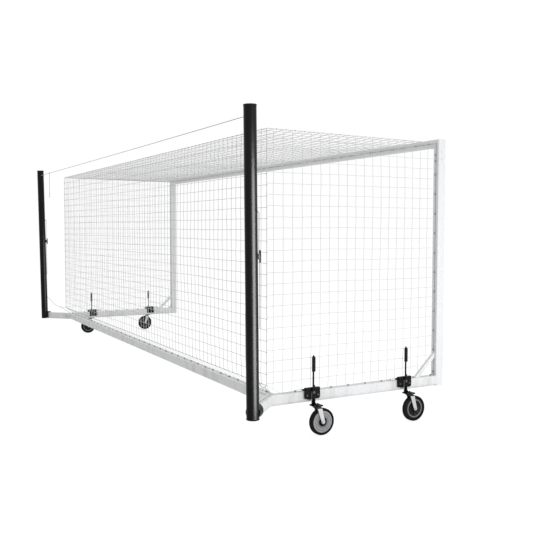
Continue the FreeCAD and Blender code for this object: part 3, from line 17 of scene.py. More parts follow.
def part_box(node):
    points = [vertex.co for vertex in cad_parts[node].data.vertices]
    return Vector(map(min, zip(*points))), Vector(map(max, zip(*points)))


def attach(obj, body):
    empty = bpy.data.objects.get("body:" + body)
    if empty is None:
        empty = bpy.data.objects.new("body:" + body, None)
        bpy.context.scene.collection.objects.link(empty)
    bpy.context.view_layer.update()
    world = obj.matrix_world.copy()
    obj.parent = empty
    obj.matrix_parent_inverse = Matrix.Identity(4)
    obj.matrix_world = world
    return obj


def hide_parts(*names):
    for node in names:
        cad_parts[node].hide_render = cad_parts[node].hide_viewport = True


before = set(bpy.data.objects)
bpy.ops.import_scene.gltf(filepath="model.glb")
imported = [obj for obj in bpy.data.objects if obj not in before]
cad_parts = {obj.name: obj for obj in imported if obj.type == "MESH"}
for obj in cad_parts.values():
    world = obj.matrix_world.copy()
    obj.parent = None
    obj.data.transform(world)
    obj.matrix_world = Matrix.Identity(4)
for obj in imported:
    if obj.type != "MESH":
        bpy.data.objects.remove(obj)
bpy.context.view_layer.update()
scene = bpy.context.scene
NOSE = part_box("goalpost_left")[0].y
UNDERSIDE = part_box("goalpost_left")[0].z
EAST = Vector((1, 0, 0))
NORTH = Vector((0, 1, 0))
UP = Vector((0, 0, 1))
SIDES = (("left", -1), ("right", 1))
NOISE_SEED = 7
noise.seed_set(NOISE_SEED)
print(f"{len(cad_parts)} nodes, nose plane at y = {NOSE:.4f}, underside at z = {UNDERSIDE:.4f}")


def place(x, y, z):
    """A point from the middle of the mouth: y behind the posts' noses, z above the frame's underside."""
    return Vector((x, y + NOSE, z + UNDERSIDE))


# %% [markdown]
# ## The camera
# The photograph was taken from behind the goal's left rear corner, at head height. The mouth of such a
# goal is 7.32 m by 2.44 m, and a camera fitted to its corners gives the place, the direction and the lens
# below. Its axes are worked out as vectors, because a matrix made of them can't be turned in the wrong
# order.

# %% Camera
FOCAL_PIXELS = 744.3
PHOTO_PIXELS = 533
YAW = math.radians(61.436)
PITCH = math.radians(-2.955)
ROLL = math.radians(0.056)
CAMERA_SPOT = place(-9.564, 5.259, 1.618)

camera_data = bpy.data.cameras.new("camera")
camera_data.sensor_width = 36
camera_data.lens = camera_data.sensor_width * FOCAL_PIXELS / PHOTO_PIXELS
camera_data.clip_end = 200
camera = bpy.data.objects.new("camera", camera_data)
scene.collection.objects.link(camera)
scene.camera = camera

forward = Vector((math.sin(YAW) * math.cos(PITCH), -math.cos(YAW) * math.cos(PITCH), math.sin(PITCH)))
level = forward.cross(UP).normalized()
upright = level.cross(forward)
right = level * math.cos(ROLL) + upright * math.sin(ROLL)
axes = Matrix((right, right.cross(forward), -forward)).transposed()
camera.matrix_world = Matrix.Translation(CAMERA_SPOT) @ axes.to_4x4()
print(f"lens {camera_data.lens:.2f} mm")

# %% [markdown]
# ## Node trees written as sums
# A material or a Geometry Nodes tree is a graph, but a lesson reads better as formulas. One small class
# wraps an output socket, so that + and * add Math nodes, and one method adds every other kind of node.


# %% Sockets that can be added up
class Wire:
    """An output socket on which Python's operators add Math nodes."""

    def __init__(self, nodes, socket):
        self.nodes = nodes
        self.socket = socket

    def maths(self, operation, first, second):
        return self.nodes.add("ShaderNodeMath", {"operation": operation}, {0: first, 1: second})

    def __add__(self, other):
        return self.maths("ADD", self, other)

    def __radd__(self, other):
        return self.maths("ADD", other, self)

    def __sub__(self, other):
        return self.maths("SUBTRACT", self, other)

    def __rsub__(self, other):
        return self.maths("SUBTRACT", other, self)

    def __mul__(self, other):
        return self.maths("MULTIPLY", self, other)

    def __rmul__(self, other):
        return self.maths("MULTIPLY", other, self)

    def above(self, edge, soft):
        """0 below the edge and 1 above it, with a soft step between."""
        sockets = {"Value": self, "From Min": edge - soft, "From Max": edge + soft}
        return self.nodes.add("ShaderNodeMapRange", {"interpolation_type": "SMOOTHSTEP"}, sockets)


class Nodes:
    """A node tree under construction."""

    def __init__(self, tree):
        self.tree = tree

    def add(self, kind, settings=None, sockets=None, output=0):
        """Adds a node: its settings first, then values or wires for its sockets. Gives back one output."""
        node = self.tree.nodes.new(kind)
        for name, value in (settings or {}).items():
            setattr(node, name, value)
        for key, value in (sockets or {}).items():
            self.feed(node.inputs[key], value)
        return Wire(self, node.outputs[output]) if node.outputs else node

    def feed(self, socket, value):
        if isinstance(value, Wire):
            self.tree.links.new(value.socket, socket)
        elif isinstance(value, list):
            for wire in value:
                self.tree.links.new(wire.socket, socket)
        else:
            socket.default_value = value


# %% [markdown]
# ## Finishes
# Every finish starts from the same shader. Its even values are set on the shader's own sockets, and only
# what changes over the surface comes through nodes: a stain, a scratch, the peel of a powder coat.
# Patterns read the object's coordinates, which are metres here, so a scale of 400 means 400 bumps on a
# metre.


# %% The start of every finish
class Finish(Nodes):
    """A material with one Principled shader, and patterns that read the object's coordinates."""

    def __init__(self, name, colour, roughness, metallic=0.0, **even):
        self.material = bpy.data.materials.new(name)
        self.material.use_nodes = True
        super().__init__(self.material.node_tree)
        self.tree.nodes.clear()
        self.shader = self.tree.nodes.new("ShaderNodeBsdfPrincipled")
        output = self.tree.nodes.new("ShaderNodeOutputMaterial")
        self.tree.links.new(self.shader.outputs[0], output.inputs[0])
        self.even = (*colour, 1)
        self.set("Base Color", self.even)
        self.set("Roughness", roughness)
        self.set("Metallic", metallic)
        for socket, value in even.items():
            self.set(socket.replace("_", " ").title().replace("Ior", "IOR"), value)
        self.where = self.add("ShaderNodeTexCoord", output="Object")

    def set(self, socket, value):
        self.feed(self.shader.inputs[socket], value)

    def noise(self, scale, detail=2.0, stretch=(1, 1, 1), roughness=0.5):
        """Even noise, from 0 to 1, with a number of lumps to the metre."""
        spot = self.add("ShaderNodeMapping", {}, {"Vector": self.where, "Scale": stretch})
        sockets = {"Vector": spot, "Scale": scale, "Detail": detail, "Roughness": roughness}
        return self.add("ShaderNodeTexNoise", {}, sockets)

    def blend(self, mask, first, second):
        """One colour where the mask is 0 and another where it is 1."""
        colours = [value if isinstance(value, Wire) else (*value[:3], 1) for value in (first, second)]
        sockets = {"Factor": mask, 6: colours[0], 7: colours[1]}
        return self.add("ShaderNodeMix", {"data_type": "RGBA"}, sockets, output=2)

    def bump(self, height, depth, strength=1.0):
        """Turns a height pattern into the surface's relief, in metres."""
        sockets = {"Height": height, "Distance": depth, "Strength": strength}
        self.set("Normal", self.add("ShaderNodeBump", {}, sockets))

    def height(self):
        """How high a point is above the ground."""
        return self.add("ShaderNodeSeparateXYZ", {}, {0: self.where}, output="Z")


def paint(node, finish):
    """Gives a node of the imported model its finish."""
    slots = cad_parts[node].data.materials
    slots.clear()
    slots.append(finish)


# %% [markdown]
# ## White powder coat
# The frame is aluminium extrusion under white powder coat: nearly white, satin, with the fine peel that
# powder leaves when it melts, and a little grey from hands and grass near the ground.


# %% White powder coat
def white_coat(name, colour, grime):
    finish = Finish(name, colour, 0.38)
    clouds = finish.noise(1.7, 3.0)
    low = 1 - finish.height().above(0.42, 0.16)
    smears = finish.noise(9.0, 4.0, (1, 1, 0.25)).above(0.56, 0.12)
    dirt = low * smears * grime
    shade = finish.blend(clouds * 0.5, colour, [value * 0.965 for value in colour])
    finish.set("Base Color", finish.blend(dirt, shade, (0.42, 0.41, 0.37)))
    finish.set("Roughness", 0.33 + clouds * 0.08 + dirt * 0.3)
    finish.bump(finish.noise(420.0, 1.0), 0.0004, 0.12)
    return finish.material


frame_white = white_coat("frame_white", (0.80, 0.81, 0.82), 0.35)
for node in ("goalpost_left", "goalpost_right", "crossbar", "side_rail_left", "side_rail_right",
             "rear_ground_bar", "corner_gussets", "corner_braces"):
    paint(node, frame_white)

# %% [markdown]
# ## Black powder coat, moulded plastic and steel
# The rear posts, the brackets and the levers are coated black. The caps, cleats and guides are moulded
# nylon, duller and warmer. The bolts and forks are steel with bright zinc, whose crystals show as faint
# flakes. Black shows every reflection, so the gloss matters more than the colour: each black has a
# specular level of its own.


# %% Black coat, plastic and zinc
def black_coat(name, colour, roughness, wear, gloss):
    finish = Finish(name, colour, roughness, specular_ior_level=gloss)
    clouds = finish.noise(3.0, 3.0)
    rubs = finish.noise(14.0, 6.0, (1, 1, 0.3), 0.65).above(0.68, 0.05)
    finish.set("Base Color", finish.blend(rubs * wear, colour, (0.13, 0.13, 0.135)))
    finish.set("Roughness", roughness - 0.05 + clouds * 0.1 + rubs * 0.15)
    finish.bump(finish.noise(380.0, 1.0), 0.0005, 0.15)
    return finish.material


def moulded(name, colour, roughness, gloss=0.5):
    finish = Finish(name, colour, roughness, specular_ior_level=gloss)
    mottle = finish.noise(30.0, 3.0)
    finish.set("Base Color", finish.blend(mottle, colour, [value * 1.35 for value in colour]))
    finish.set("Roughness", roughness - 0.06 + mottle * 0.14)
    finish.bump(finish.noise(900.0, 2.0), 0.0003, 0.2)
    return finish.material


def zinc_flakes(finish):
    """A tone from 0 to 1 for each crystal of zinc, about 5 mm across."""
    sockets = {"Vector": finish.where, "Scale": 220.0}
    cells = finish.add("ShaderNodeTexVoronoi", {}, sockets, output="Color")
    return finish.add("ShaderNodeSeparateColor", {}, {0: cells})


def zinc(name, colour, roughness):
    finish = Finish(name, colour, roughness, 1.0)
    grain = zinc_flakes(finish)
    dull = finish.noise(18.0, 4.0)
    finish.set("Base Color", finish.blend(grain * 0.5, colour, [value * 0.82 for value in colour]))
    finish.set("Roughness", roughness + grain * 0.08 + dull * 0.14)
    finish.bump(finish.noise(700.0, 2.0), 0.0002, 0.15)
    return finish.material


post_black = black_coat("post_black", (0.004, 0.0042, 0.0045), 0.31, 0.25, 0.13)
steel_black = black_coat("steel_black", (0.003, 0.003, 0.0033), 0.40, 0.4, 0.11)
nylon_black = moulded("nylon_black", (0.005, 0.005, 0.0053), 0.5, 0.2)
bright_zinc = zinc("bright_zinc", (0.60, 0.61, 0.63), 0.30)
dark_zinc = zinc("dark_zinc", (0.10, 0.10, 0.105), 0.38)
raw_aluminium = zinc("raw_aluminium", (0.68, 0.69, 0.70), 0.4)
for node in ("rear_post_left", "rear_post_right", "post_sockets"):
    paint(node, post_black)
for node in ("post_plugs", "cleats", "rope_guides"):
    paint(node, nylon_black)
paint("wheel_brackets", steel_black)
paint("pivot_pins", dark_zinc)
paint("corner_inserts", raw_aluminium)

# %% [markdown]
# ## Ropes
# Four kinds of rope belong to the rear posts: one taut between their tops, a halyard down each post to
# its cleat, a cord from each post's foot to the net's lower corner, and a short cord with a snap hook.
# Each is a NURBS curve whose control points are those of its route in the part, so it bends smoothly and
# stays where the solid is.


# %% Braided rope
def braided(name, colour, length, diameter):
    """Rope whose strands cross round it: two families of spirals over the curve's own coordinates, which give
    the bumps and a painted shade in the grooves.
    """
    finish = Finish(name, colour, 0.82, sheen_weight=0.25)
    uv = finish.add("ShaderNodeTexCoord", output="UV")
    along = finish.add("ShaderNodeSeparateXYZ", {}, {0: uv}, output="X")
    around = finish.add("ShaderNodeSeparateXYZ", {}, {0: uv}, output="Y")
    turns = round(length / (diameter * 3.0))
    waves = []
    for sign in (-1, 1):
        angle = (along * (turns * math.tau)) + (around * (sign * 4 * math.tau))
        waves.append(finish.add("ShaderNodeMath", {"operation": "SINE"}, {0: angle}))
    strands = finish.add("ShaderNodeMath", {"operation": "MAXIMUM"}, {0: waves[0], 1: waves[1]})
    fuzz = finish.noise(2500.0, 2.0)
    # Painted shade: the braid is darker in the grooves between its strands.
    groove = 1 - (strands * 0.5 + 0.5)
    shade = [value * 0.55 for value in colour]
    finish.set("Base Color", finish.blend(groove * 0.6 + fuzz * 0.2, colour, shade))
    finish.bump(strands + fuzz * 0.4, diameter * 0.08, 0.8)
    return finish.material


# %% Rope curves
ROPE = 0.006
GREY_ROPE = (0.42, 0.42, 0.42)
WHITE_ROPE = (0.50, 0.50, 0.50)


def soft_line(name, points, thickness):
    """A NURBS curve through the bends of a route."""
    curve = bpy.data.curves.new(name, "CURVE")
    curve.dimensions = "3D"
    curve.bevel_depth = thickness / 2
    curve.bevel_resolution = 3
    curve.use_fill_caps = True
    spline = curve.splines.new("NURBS")
    spline.points.add(len(points) - 1)
    for knot, point in zip(spline.points, points):
        knot.co = (*point, 1)
    spline.order_u = 3
    spline.use_endpoint_u = True
    spline.resolution_u = 10
    piece = bpy.data.objects.new(name, curve)
    scene.collection.objects.link(piece)
    return piece


def mesh_of_curve(piece):
    """Reads a curve object back as a mesh, and removes the curve."""
    mesh = bpy.data.meshes.new_from_object(piece)
    curve = piece.data
    bpy.data.objects.remove(piece)
    bpy.data.curves.remove(curve)
    return mesh


def reach(points):
    """The length of a route: its curve without a thickness, as a mesh, measured edge by edge."""
    line = mesh_of_curve(soft_line("probe", points, 0))
    total = 0
    for edge in line.edges:
        first, second = (line.vertices[index].co for index in edge.vertices)
        total += (first - second).length
    bpy.data.meshes.remove(line)
    return total


def rope(name, points, colour, replaced=None):
    """A free rope along a route, its real length measured for the braid and printed."""
    piece = soft_line(name, points, ROPE)
    length = reach(points)
    piece.data.materials.append(braided(name + "_braid", colour, length, ROPE))
    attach(piece, "root")
    if replaced:
        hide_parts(replaced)
    print(f"{name}: {length:.3f} m")


# %% Routes of the ropes
HALYARD = [
    (4.06332, 1.11831, 2.04553), (4.06332, 1.09632, 2.04585), (4.06411, 1.09491, 2.01786),
    (4.07419, 1.10231, 1.69863), (4.07381, 1.10159, 1.64864), (4.04681, 1.09809, 1.64890),
    (4.04714, 1.09523, 1.69294), (4.07414, 1.09473, 1.69274), (4.07578, 1.09353, 1.64474),
    (4.07442, 1.09226, 1.07069),
]
CORNER_CORD = [
    (4.01533, 1.11387, 0.66078), (3.99837, 1.09690, 0.66115), (3.96750, 1.06600, 0.63100),
    (3.93950, 1.02900, 0.57100), (3.88500, 0.96900, 0.51700), (3.83950, 0.91900, 0.49700),
    (3.74250, 0.84850, 0.49320),
]
BRANCH = [(3.83350, 0.91200, 0.49250), (3.76800, 0.84600, 0.44400), (3.70400, 0.78300, 0.39800)]
CROSS_ROPE = [(-4.01734, 1.18275, 2.83806), (0.0, 1.18275, 2.82900), (4.01734, 1.18275, 2.83806)]
INNER_ROPE = [
    (4.01684, 1.18275, 2.83806), (4.04934, 1.18275, 2.83781), (4.06113, 1.18235, 2.80973),
    (4.06356, 1.16377, 2.07688), (4.06332, 1.15131, 2.04506), (4.06332, 1.11881, 2.04552),
]


# %% Ropes at both posts
def at_side(side, route):
    """A route of the right-hand post, as it is or mirrored to the left."""
    return [(side * x, y, z) for x, y, z in route]


for side_name, side in SIDES:
    rope(
        "halyard_rope_" + side_name, at_side(side, HALYARD), WHITE_ROPE,
        "halyard_" + side_name,
    )
    rope(
        "corner_rope_" + side_name, at_side(side, CORNER_CORD), GREY_ROPE,
        "corner_cord_" + side_name,
    )
    rope("corner_branch_" + side_name, at_side(side, BRANCH), GREY_ROPE)
    inner_route = at_side(side, INNER_ROPE)
    inner = soft_line("inner_rope_" + side_name, inner_route, ROPE)
    inner_braid = braided("inner_braid_" + side_name, GREY_ROPE, reach(inner_route), ROPE)
    inner.data.materials.append(inner_braid)
    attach(inner, "root")
    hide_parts("inner_ropes")
rope("cross_line", CROSS_ROPE, GREY_ROPE, "cross_rope")

# %% [markdown]
# ## Geometry Nodes as recipes
# What repeats by a rule, such as twines, clips, bolts and weld drops, is grown by a Geometry Nodes tree.
# The base mesh says where: its points carry the directions. The tree says what: it puts one shape on each
# point, realizes the copies and sets the material. The result is read back as a plain mesh, so nothing is
# left to evaluate.


# %% Recipes and what grows from them
def recipe(name, inputs):
    """A Geometry Nodes tree with named inputs, its entry wires and the function that closes it."""
    tree = bpy.data.node_groups.new(name, "GeometryNodeTree")
    tree.interface.new_socket("Geometry", in_out="INPUT", socket_type="NodeSocketGeometry")
    for label, kind in inputs.items():
        tree.interface.new_socket(label, in_out="INPUT", socket_type="NodeSocket" + kind)
    tree.interface.new_socket("Geometry", in_out="OUTPUT", socket_type="NodeSocketGeometry")
    nodes = Nodes(tree)
    entry = tree.nodes.new("NodeGroupInput")
    wires = {label: Wire(nodes, entry.outputs[label]) for label in ("Geometry", *inputs)}

    def close(shapes, smooth=True):
        joined = nodes.add("GeometryNodeJoinGeometry", {}, {0: shapes})
        real = nodes.add("GeometryNodeRealizeInstances", {}, {0: joined})
        shaded = nodes.add("GeometryNodeSetShadeSmooth", {}, {"Geometry": real, "Shade Smooth": smooth})
        sockets = {"Geometry": shaded, "Material": wires["Material"]}
        coated = nodes.add("GeometryNodeSetMaterial", {}, sockets)
        tree.links.new(coated.socket, tree.nodes.new("NodeGroupOutput").inputs[0])

    return tree, nodes, wires, close


def base_points(name, points, lines=(), **directions):
    """A mesh of points and lines, with one vector attribute for each named direction."""
    mesh = bpy.data.meshes.new(name)
    mesh.from_pydata([tuple(point) for point in points], list(lines), [])
    for label, vectors in directions.items():
        attribute = mesh.attributes.new(label, "FLOAT_VECTOR", "POINT")
        attribute.data.foreach_set("vector", [value for vector in vectors for value in vector])
    return mesh


def grow(name, base, tree, values, body="root"):
    """Runs a recipe on a base mesh and keeps the result as a plain mesh that rides on a body."""
    carrier = bpy.data.objects.new(name + "_base", base)
    scene.collection.objects.link(carrier)
    modifier = carrier.modifiers.new("recipe", "NODES")
    modifier.node_group = tree
    for item in tree.interface.items_tree:
        if item.name in values:
            modifier[item.identifier] = values[item.name]
    bpy.context.view_layer.update()
    result = carrier.evaluated_get(bpy.context.evaluated_depsgraph_get())
    mesh = bpy.data.meshes.new_from_object(result)
    mesh.name = name
    bpy.data.objects.remove(carrier)
    bpy.data.meshes.remove(base)
    return keep_piece(name, mesh, body)


def keep_piece(name, mesh, body="root", replaced=()):
    """A finished mesh becomes a piece that rides on a body."""
    piece = bpy.data.objects.new(name, mesh)
    scene.collection.objects.link(piece)
    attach(piece, body)
    if replaced:
        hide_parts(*replaced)
    print(f"{name}: {len(mesh.polygons)} faces")
    return piece


# %% [markdown]
# ## The net
# The net is knotless white twine in a 100 mm square mesh, laced to border cords at the rear and hooked on
# clips at the front. It could be a texture with holes, but then it would be flat from the side and lost
# in the mesh files. Here each panel is a graph of crossings and twines, cut to the panel's outline. The
# middle of each large panel bellies a little, and each crossing is a few millimetres off, as a hung net's
# crossings are.

# %% The net's graph
CELL = 0.1
SHORTEST_END = 0.02
ON_THE_SIDE = 1e-4


def crossings(outline, value, axis):
    """Where a grid line crosses the outline of a convex panel: its lowest and highest crossing."""
    found = []
    for start, end in zip(outline, outline[1:] + outline[:1]):
        low, high = sorted((start[axis], end[axis]))
        if low <= value <= high and high - low > 1e-9:
            share = (value - start[axis]) / (end[axis] - start[axis])
            found.append(start[1 - axis] + share * (end[1 - axis] - start[1 - axis]))
    return min(found), max(found)


def inside(outline, u, v):
    """How far a point is from the nearest side of the panel."""
    gaps = []
    for (u0, v0), (u1, v1) in zip(outline, outline[1:] + outline[:1]):
        gaps.append(abs((u1 - u0) * (v - v0) - (v1 - v0) * (u - u0)) / math.hypot(u1 - u0, v1 - v0))
    return min(gaps)


def net_graph(outline):
    """The crossings of a square mesh cut to an outline, and the twines between them."""
    index = {}
    lines = set()

    def point(u, v):
        return index.setdefault((round(u, 4), round(v, 4)), len(index))

    def chain(places):
        row = [point(*spot) for spot in places]
        lines.update((min(pair), max(pair)) for pair in zip(row, row[1:]) if pair[0] != pair[1])

    rim = {tuple(round(value, 4) for value in corner) for corner in outline}
    for axis in (0, 1):
        values = [corner[axis] for corner in outline]
        first = math.ceil(min(values) / CELL + 0.25)
        for step in range(first, math.floor(max(values) / CELL - 0.25) + 1):
            low, high = crossings(outline, step * CELL, axis)
            grid = [k * CELL for k in range(math.floor(low / CELL), math.ceil(high / CELL) + 1)]
            between = [value for value in grid if low + SHORTEST_END < value < high - SHORTEST_END]
            stops = [low, *between, high]
            spots = [(step * CELL, value) if axis == 0 else (value, step * CELL) for value in stops]
            chain(spots)
            rim.update(tuple(round(value, 4) for value in spot) for spot in (spots[0], spots[-1]))
    for start, end in zip(outline, outline[1:] + outline[:1]):
        length = math.dist(start, end)
        side = []
        for spot in rim:
            along = sum((spot[k] - start[k]) * (end[k] - start[k]) for k in (0, 1)) / length
            beside = abs(math.dist(start, spot) ** 2 - along ** 2)
            if -ON_THE_SIDE <= along <= length + ON_THE_SIDE and beside < 1e-6:
                side.append((along, spot))
        chain([spot for along, spot in sorted(side)])
    return list(index), sorted(lines)


square_metre = [(0, 0), (1, 0), (1, 1), (0, 1)]
print("a square metre has", len(net_graph(square_metre)[0]), "crossings")

# %% Twine
TWINE = 0.0036
REAR_TWINE = 0.0044
ROOF_TWINE = 0.0046
net_white = Finish("net_white", (0.64, 0.645, 0.65), 0.85, sheen_weight=0.2)
fibres = net_white.noise(1500.0, 3.0)
soiled = net_white.noise(2.2, 3.0)
net_tone = net_white.blend(soiled * 0.3, net_white.even, (0.57, 0.57, 0.555))
net_white.set("Base Color", net_white.blend(fibres * 0.5, net_tone, (0.50, 0.502, 0.505)))
net_white.bump(fibres, 0.0004, 0.6)

# %% Recipe of the net
twine_inputs = {"Twine": "Float", "Crossing": "Float", "Material": "Material"}
net_tree, nodes, wires, close = recipe("net_twine", twine_inputs)
twines = nodes.add("GeometryNodeMeshToCurve", {}, {"Mesh": wires["Geometry"]})
section = nodes.add("GeometryNodeCurvePrimitiveCircle", {}, {"Resolution": 6, "Radius": wires["Twine"]})
tubes = nodes.add("GeometryNodeCurveToMesh", {}, {"Curve": twines, "Profile Curve": section})
drop = nodes.add("GeometryNodeMeshIcoSphere", {}, {"Radius": wires["Crossing"], "Subdivisions": 1})
drops = nodes.add("GeometryNodeInstanceOnPoints", {}, {"Points": wires["Geometry"], "Instance": drop})
close([tubes, drops])


# %% Panels of net
BELLY_REACH = 0.5
SWAY = 0.012
SHAKE = 0.004


def net_panel(name, corner, across, up, outline, belly, seed, replaced, twine=TWINE):
    """A panel of net from its outline in the plane of two directions, bellied along a third."""
    spots, lines = net_graph(outline)
    points = []
    for u, v in spots:
        gap = inside(outline, u, v)
        hang = 1 - math.exp(-gap / BELLY_REACH)
        sway = noise.noise_vector(Vector((u * 0.9, v * 0.9, seed))) * SWAY * hang
        shake = noise.noise_vector(Vector((u * 7.3, v * 7.3, seed + 40))) * SHAKE * min(1, gap / 0.08)
        points.append(corner + across * u + up * v + belly * hang + sway + shake)
    values = {"Twine": twine / 2, "Crossing": twine * 0.72, "Material": net_white.material}
    piece = grow(name, base_points(name, points, lines), net_tree, values)
    if replaced:
        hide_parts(replaced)


# %% Lines that the net hangs between
RAIL = 3.700
REAR_HALF = 3.7365
CLIP_LINE = 0.118
BAR_LINE = 2.480
REAR_LINE = 2.085
REAR_TOP = 2.500
REAR_LOW = 0.203
HEM_LINE = 2.000
HEM_HALF = 3.64
SIDE_BELLY = 0.018
ROOF_BELLY = 0.040


def rear_corner(side, height):
    """A point on the upright edge of the rear panel."""
    return place(side * REAR_HALF, REAR_LINE, height)


# %% Rear panel and hem
rear_tall = REAR_TOP - REAR_LOW
rear_outline = [(0, 0), (2 * REAR_HALF, 0), (2 * REAR_HALF, rear_tall), (0, rear_tall)]
net_panel(
    "net_back", rear_corner(-1, REAR_LOW), EAST, UP, rear_outline, NORTH * SIDE_BELLY, 1, "net_rear",
    REAR_TWINE,
)
hem = place(0, HEM_LINE, CLIP_LINE)
slope = place(0, REAR_LINE, REAR_LOW) - hem


def flared(front_half, length):
    """The outline of a panel that widens from its front edge to the rear net."""
    return [
        (REAR_HALF - front_half, 0), (REAR_HALF + front_half, 0), (2 * REAR_HALF, length), (0, length),
    ]


net_panel(
    "net_skirt", hem - EAST * REAR_HALF, EAST, slope.normalized(), flared(HEM_HALF, slope.length),
    UP * 0, 2, None,
)

# %% Roof
front = place(0, CLIP_LINE, BAR_LINE)
rise = place(0, REAR_LINE, REAR_TOP) - front
net_panel(
    "net_roof", front - EAST * REAR_HALF, EAST, rise.normalized(), flared(RAIL, rise.length),
    UP * -ROOF_BELLY, 3, "net_top", ROOF_TWINE,
)

# %% Sides, cut off at the brace and at the rail's bend
BRACE_TIP = 0.365
BRACE_TOP = 0.352
RAIL_END = 1.94
for side_name, side in SIDES:
    start = place(side * RAIL, CLIP_LINE, CLIP_LINE)
    back = rear_corner(side, CLIP_LINE) - start
    side_outline = [
        (BRACE_TIP - CLIP_LINE, 0), (RAIL_END - CLIP_LINE, 0), (back.length, REAR_LOW - CLIP_LINE),
        (back.length, REAR_TOP - CLIP_LINE), (0, BAR_LINE - CLIP_LINE), (0, BRACE_TOP - CLIP_LINE),
    ]
    net_panel(
        "net_side_" + side_name, start, back.normalized(), UP, side_outline, EAST * (side * SIDE_BELLY),
        4 + side, "net_" + side_name,
    )

# %% [markdown]
# ## Border cords and their lacing
# A thicker cord runs round the rear panel and along the top edges of the sides. The net is laced to it, with
# two turns of twine round the cord for each cell. The turns are rings set across the cord, grown on points
# that carry the cord's direction.

# %% Border cords
BORDER = 0.006
BORDER_FRONT = 0.106
border_curve = bpy.data.curves.new("net_edges", "CURVE")
border_curve.dimensions = "3D"
border_curve.bevel_depth = BORDER / 2
border_curve.bevel_resolution = 2
border_curve.use_fill_caps = True
border_ends = [(rear_corner(-1, height), rear_corner(1, height)) for height in (REAR_LOW, REAR_TOP)]
for side in (-1, 1):
    border_ends.append((rear_corner(side, REAR_LOW), rear_corner(side, REAR_TOP)))
    border_ends.append((place(side * RAIL, BORDER_FRONT, BAR_LINE), rear_corner(side, REAR_TOP)))
for start, end in border_ends:
    spline = border_curve.splines.new("POLY")
    steps = max(2, round((end - start).length / 0.4))
    spline.points.add(steps)
    for step, point in enumerate(spline.points):
        share = step / steps
        sway = noise.noise_vector((start.lerp(end, share)) * 1.7) * 0.004 * math.sin(math.pi * share)
        point.co = (*(start.lerp(end, share) + sway), 1)
border_object = bpy.data.objects.new("net_edges", border_curve)
scene.collection.objects.link(border_object)
border_mesh = mesh_of_curve(border_object)

# %% Finish of the border cords
border_white = Finish("border_white", (0.66, 0.665, 0.67), 0.85, sheen_weight=0.2)
twist = border_white.noise(900.0, 3.0)
border_white.set("Base Color", border_white.blend(twist * 0.6, border_white.even, (0.50, 0.502, 0.505)))
border_white.bump(twist, 0.0008, 0.7)
border_mesh.materials.clear()
border_mesh.materials.append(border_white.material)
border_mesh.shade_smooth()
keep_piece("net_edges", border_mesh, replaced=["net_border_cord"])

# %% Lacing rings
def named_direction(nodes, name):
    """The directions that a base mesh carries under a name."""
    return nodes.add("GeometryNodeInputNamedAttribute", {"data_type": "FLOAT_VECTOR"}, {"Name": name})


lace_inputs = {"Ring": "Float", "Twine": "Float", "Material": "Material"}
lace_tree, nodes, wires, close = recipe("lacing", lace_inputs)
along = named_direction(nodes, "along")
turn = nodes.add("FunctionNodeAlignRotationToVector", {"axis": "Z"}, {"Vector": along})
hoop = nodes.add("GeometryNodeCurvePrimitiveCircle", {}, {"Resolution": 10, "Radius": wires["Ring"]})
section_sockets = {"Resolution": 5, "Radius": wires["Twine"]}
wire_section = nodes.add("GeometryNodeCurvePrimitiveCircle", {}, section_sockets)
ring = nodes.add("GeometryNodeCurveToMesh", {}, {"Curve": hoop, "Profile Curve": wire_section})
ring_sockets = {"Points": wires["Geometry"], "Instance": ring, "Rotation": turn}
close([nodes.add("GeometryNodeInstanceOnPoints", {}, ring_sockets)])

# %% Where the rings sit
TWIN = 0.0025
lace_points = []
lace_ways = []
for start, end in border_ends:
    count = round((end - start).length / CELL)
    way = (end - start).normalized()
    for step in range(1, count):
        for twin in (-TWIN, TWIN):
            lace_points.append(start.lerp(end, step / count) + way * twin)
            lace_ways.append(way)
values = {"Ring": BORDER / 2 + TWINE * 0.45, "Twine": TWINE / 2, "Material": net_white.material}
lace_base = base_points("lacing", lace_points, along=lace_ways)
lacing = grow("net_lacing", lace_base, lace_tree, values)

# %% [markdown]
# ## Net clips
# The clips are grey nylon hooks that snap into the channel in the back of every post, bar and rail, about
# 200 mm apart. One clip is drawn as an outline of its hook and given its width. The recipe turns a copy
# at each place so that it points out of its channel and lies along it.

# %% One clip
clip_grey = moulded("clip_grey", (0.20, 0.205, 0.21), 0.45)
CLIP_HALF = 0.009
clip_outline = [
    (-0.0040, -0.0080), (0.0040, -0.0080), (0.0040, 0.0020), (0.0012, 0.0030), (0.0006, 0.0075),
    (0.0014, 0.0092), (0.0030, 0.0096), (0.0037, 0.0088), (0.0037, 0.0062), (0.0064, 0.0056),
    (0.0068, 0.0100), (0.0058, 0.0126), (0.0030, 0.0134), (-0.0022, 0.0130), (-0.0040, 0.0112),
]


def extruded(outline, half, bevel=0.0):
    """A flat outline given thickness along Z, with its edges rounded."""
    form = bmesh.new()
    face = form.faces.new([form.verts.new((x, y, -half)) for x, y in outline])
    top = bmesh.ops.extrude_face_region(form, geom=[face])
    lifted = [item for item in top["geom"] if isinstance(item, bmesh.types.BMVert)]
    bmesh.ops.translate(form, verts=lifted, vec=(0, 0, 2 * half))
    bmesh.ops.recalc_face_normals(form, faces=form.faces)
    if bevel:
        rims = [edge for edge in form.edges if abs(edge.verts[0].co.z - edge.verts[1].co.z) < 1e-9]
        bmesh.ops.bevel(form, geom=rims, offset=bevel, segments=1, affect="EDGES")
    mesh = bpy.data.meshes.new("outline")
    form.to_mesh(mesh)
    form.free()
    return mesh


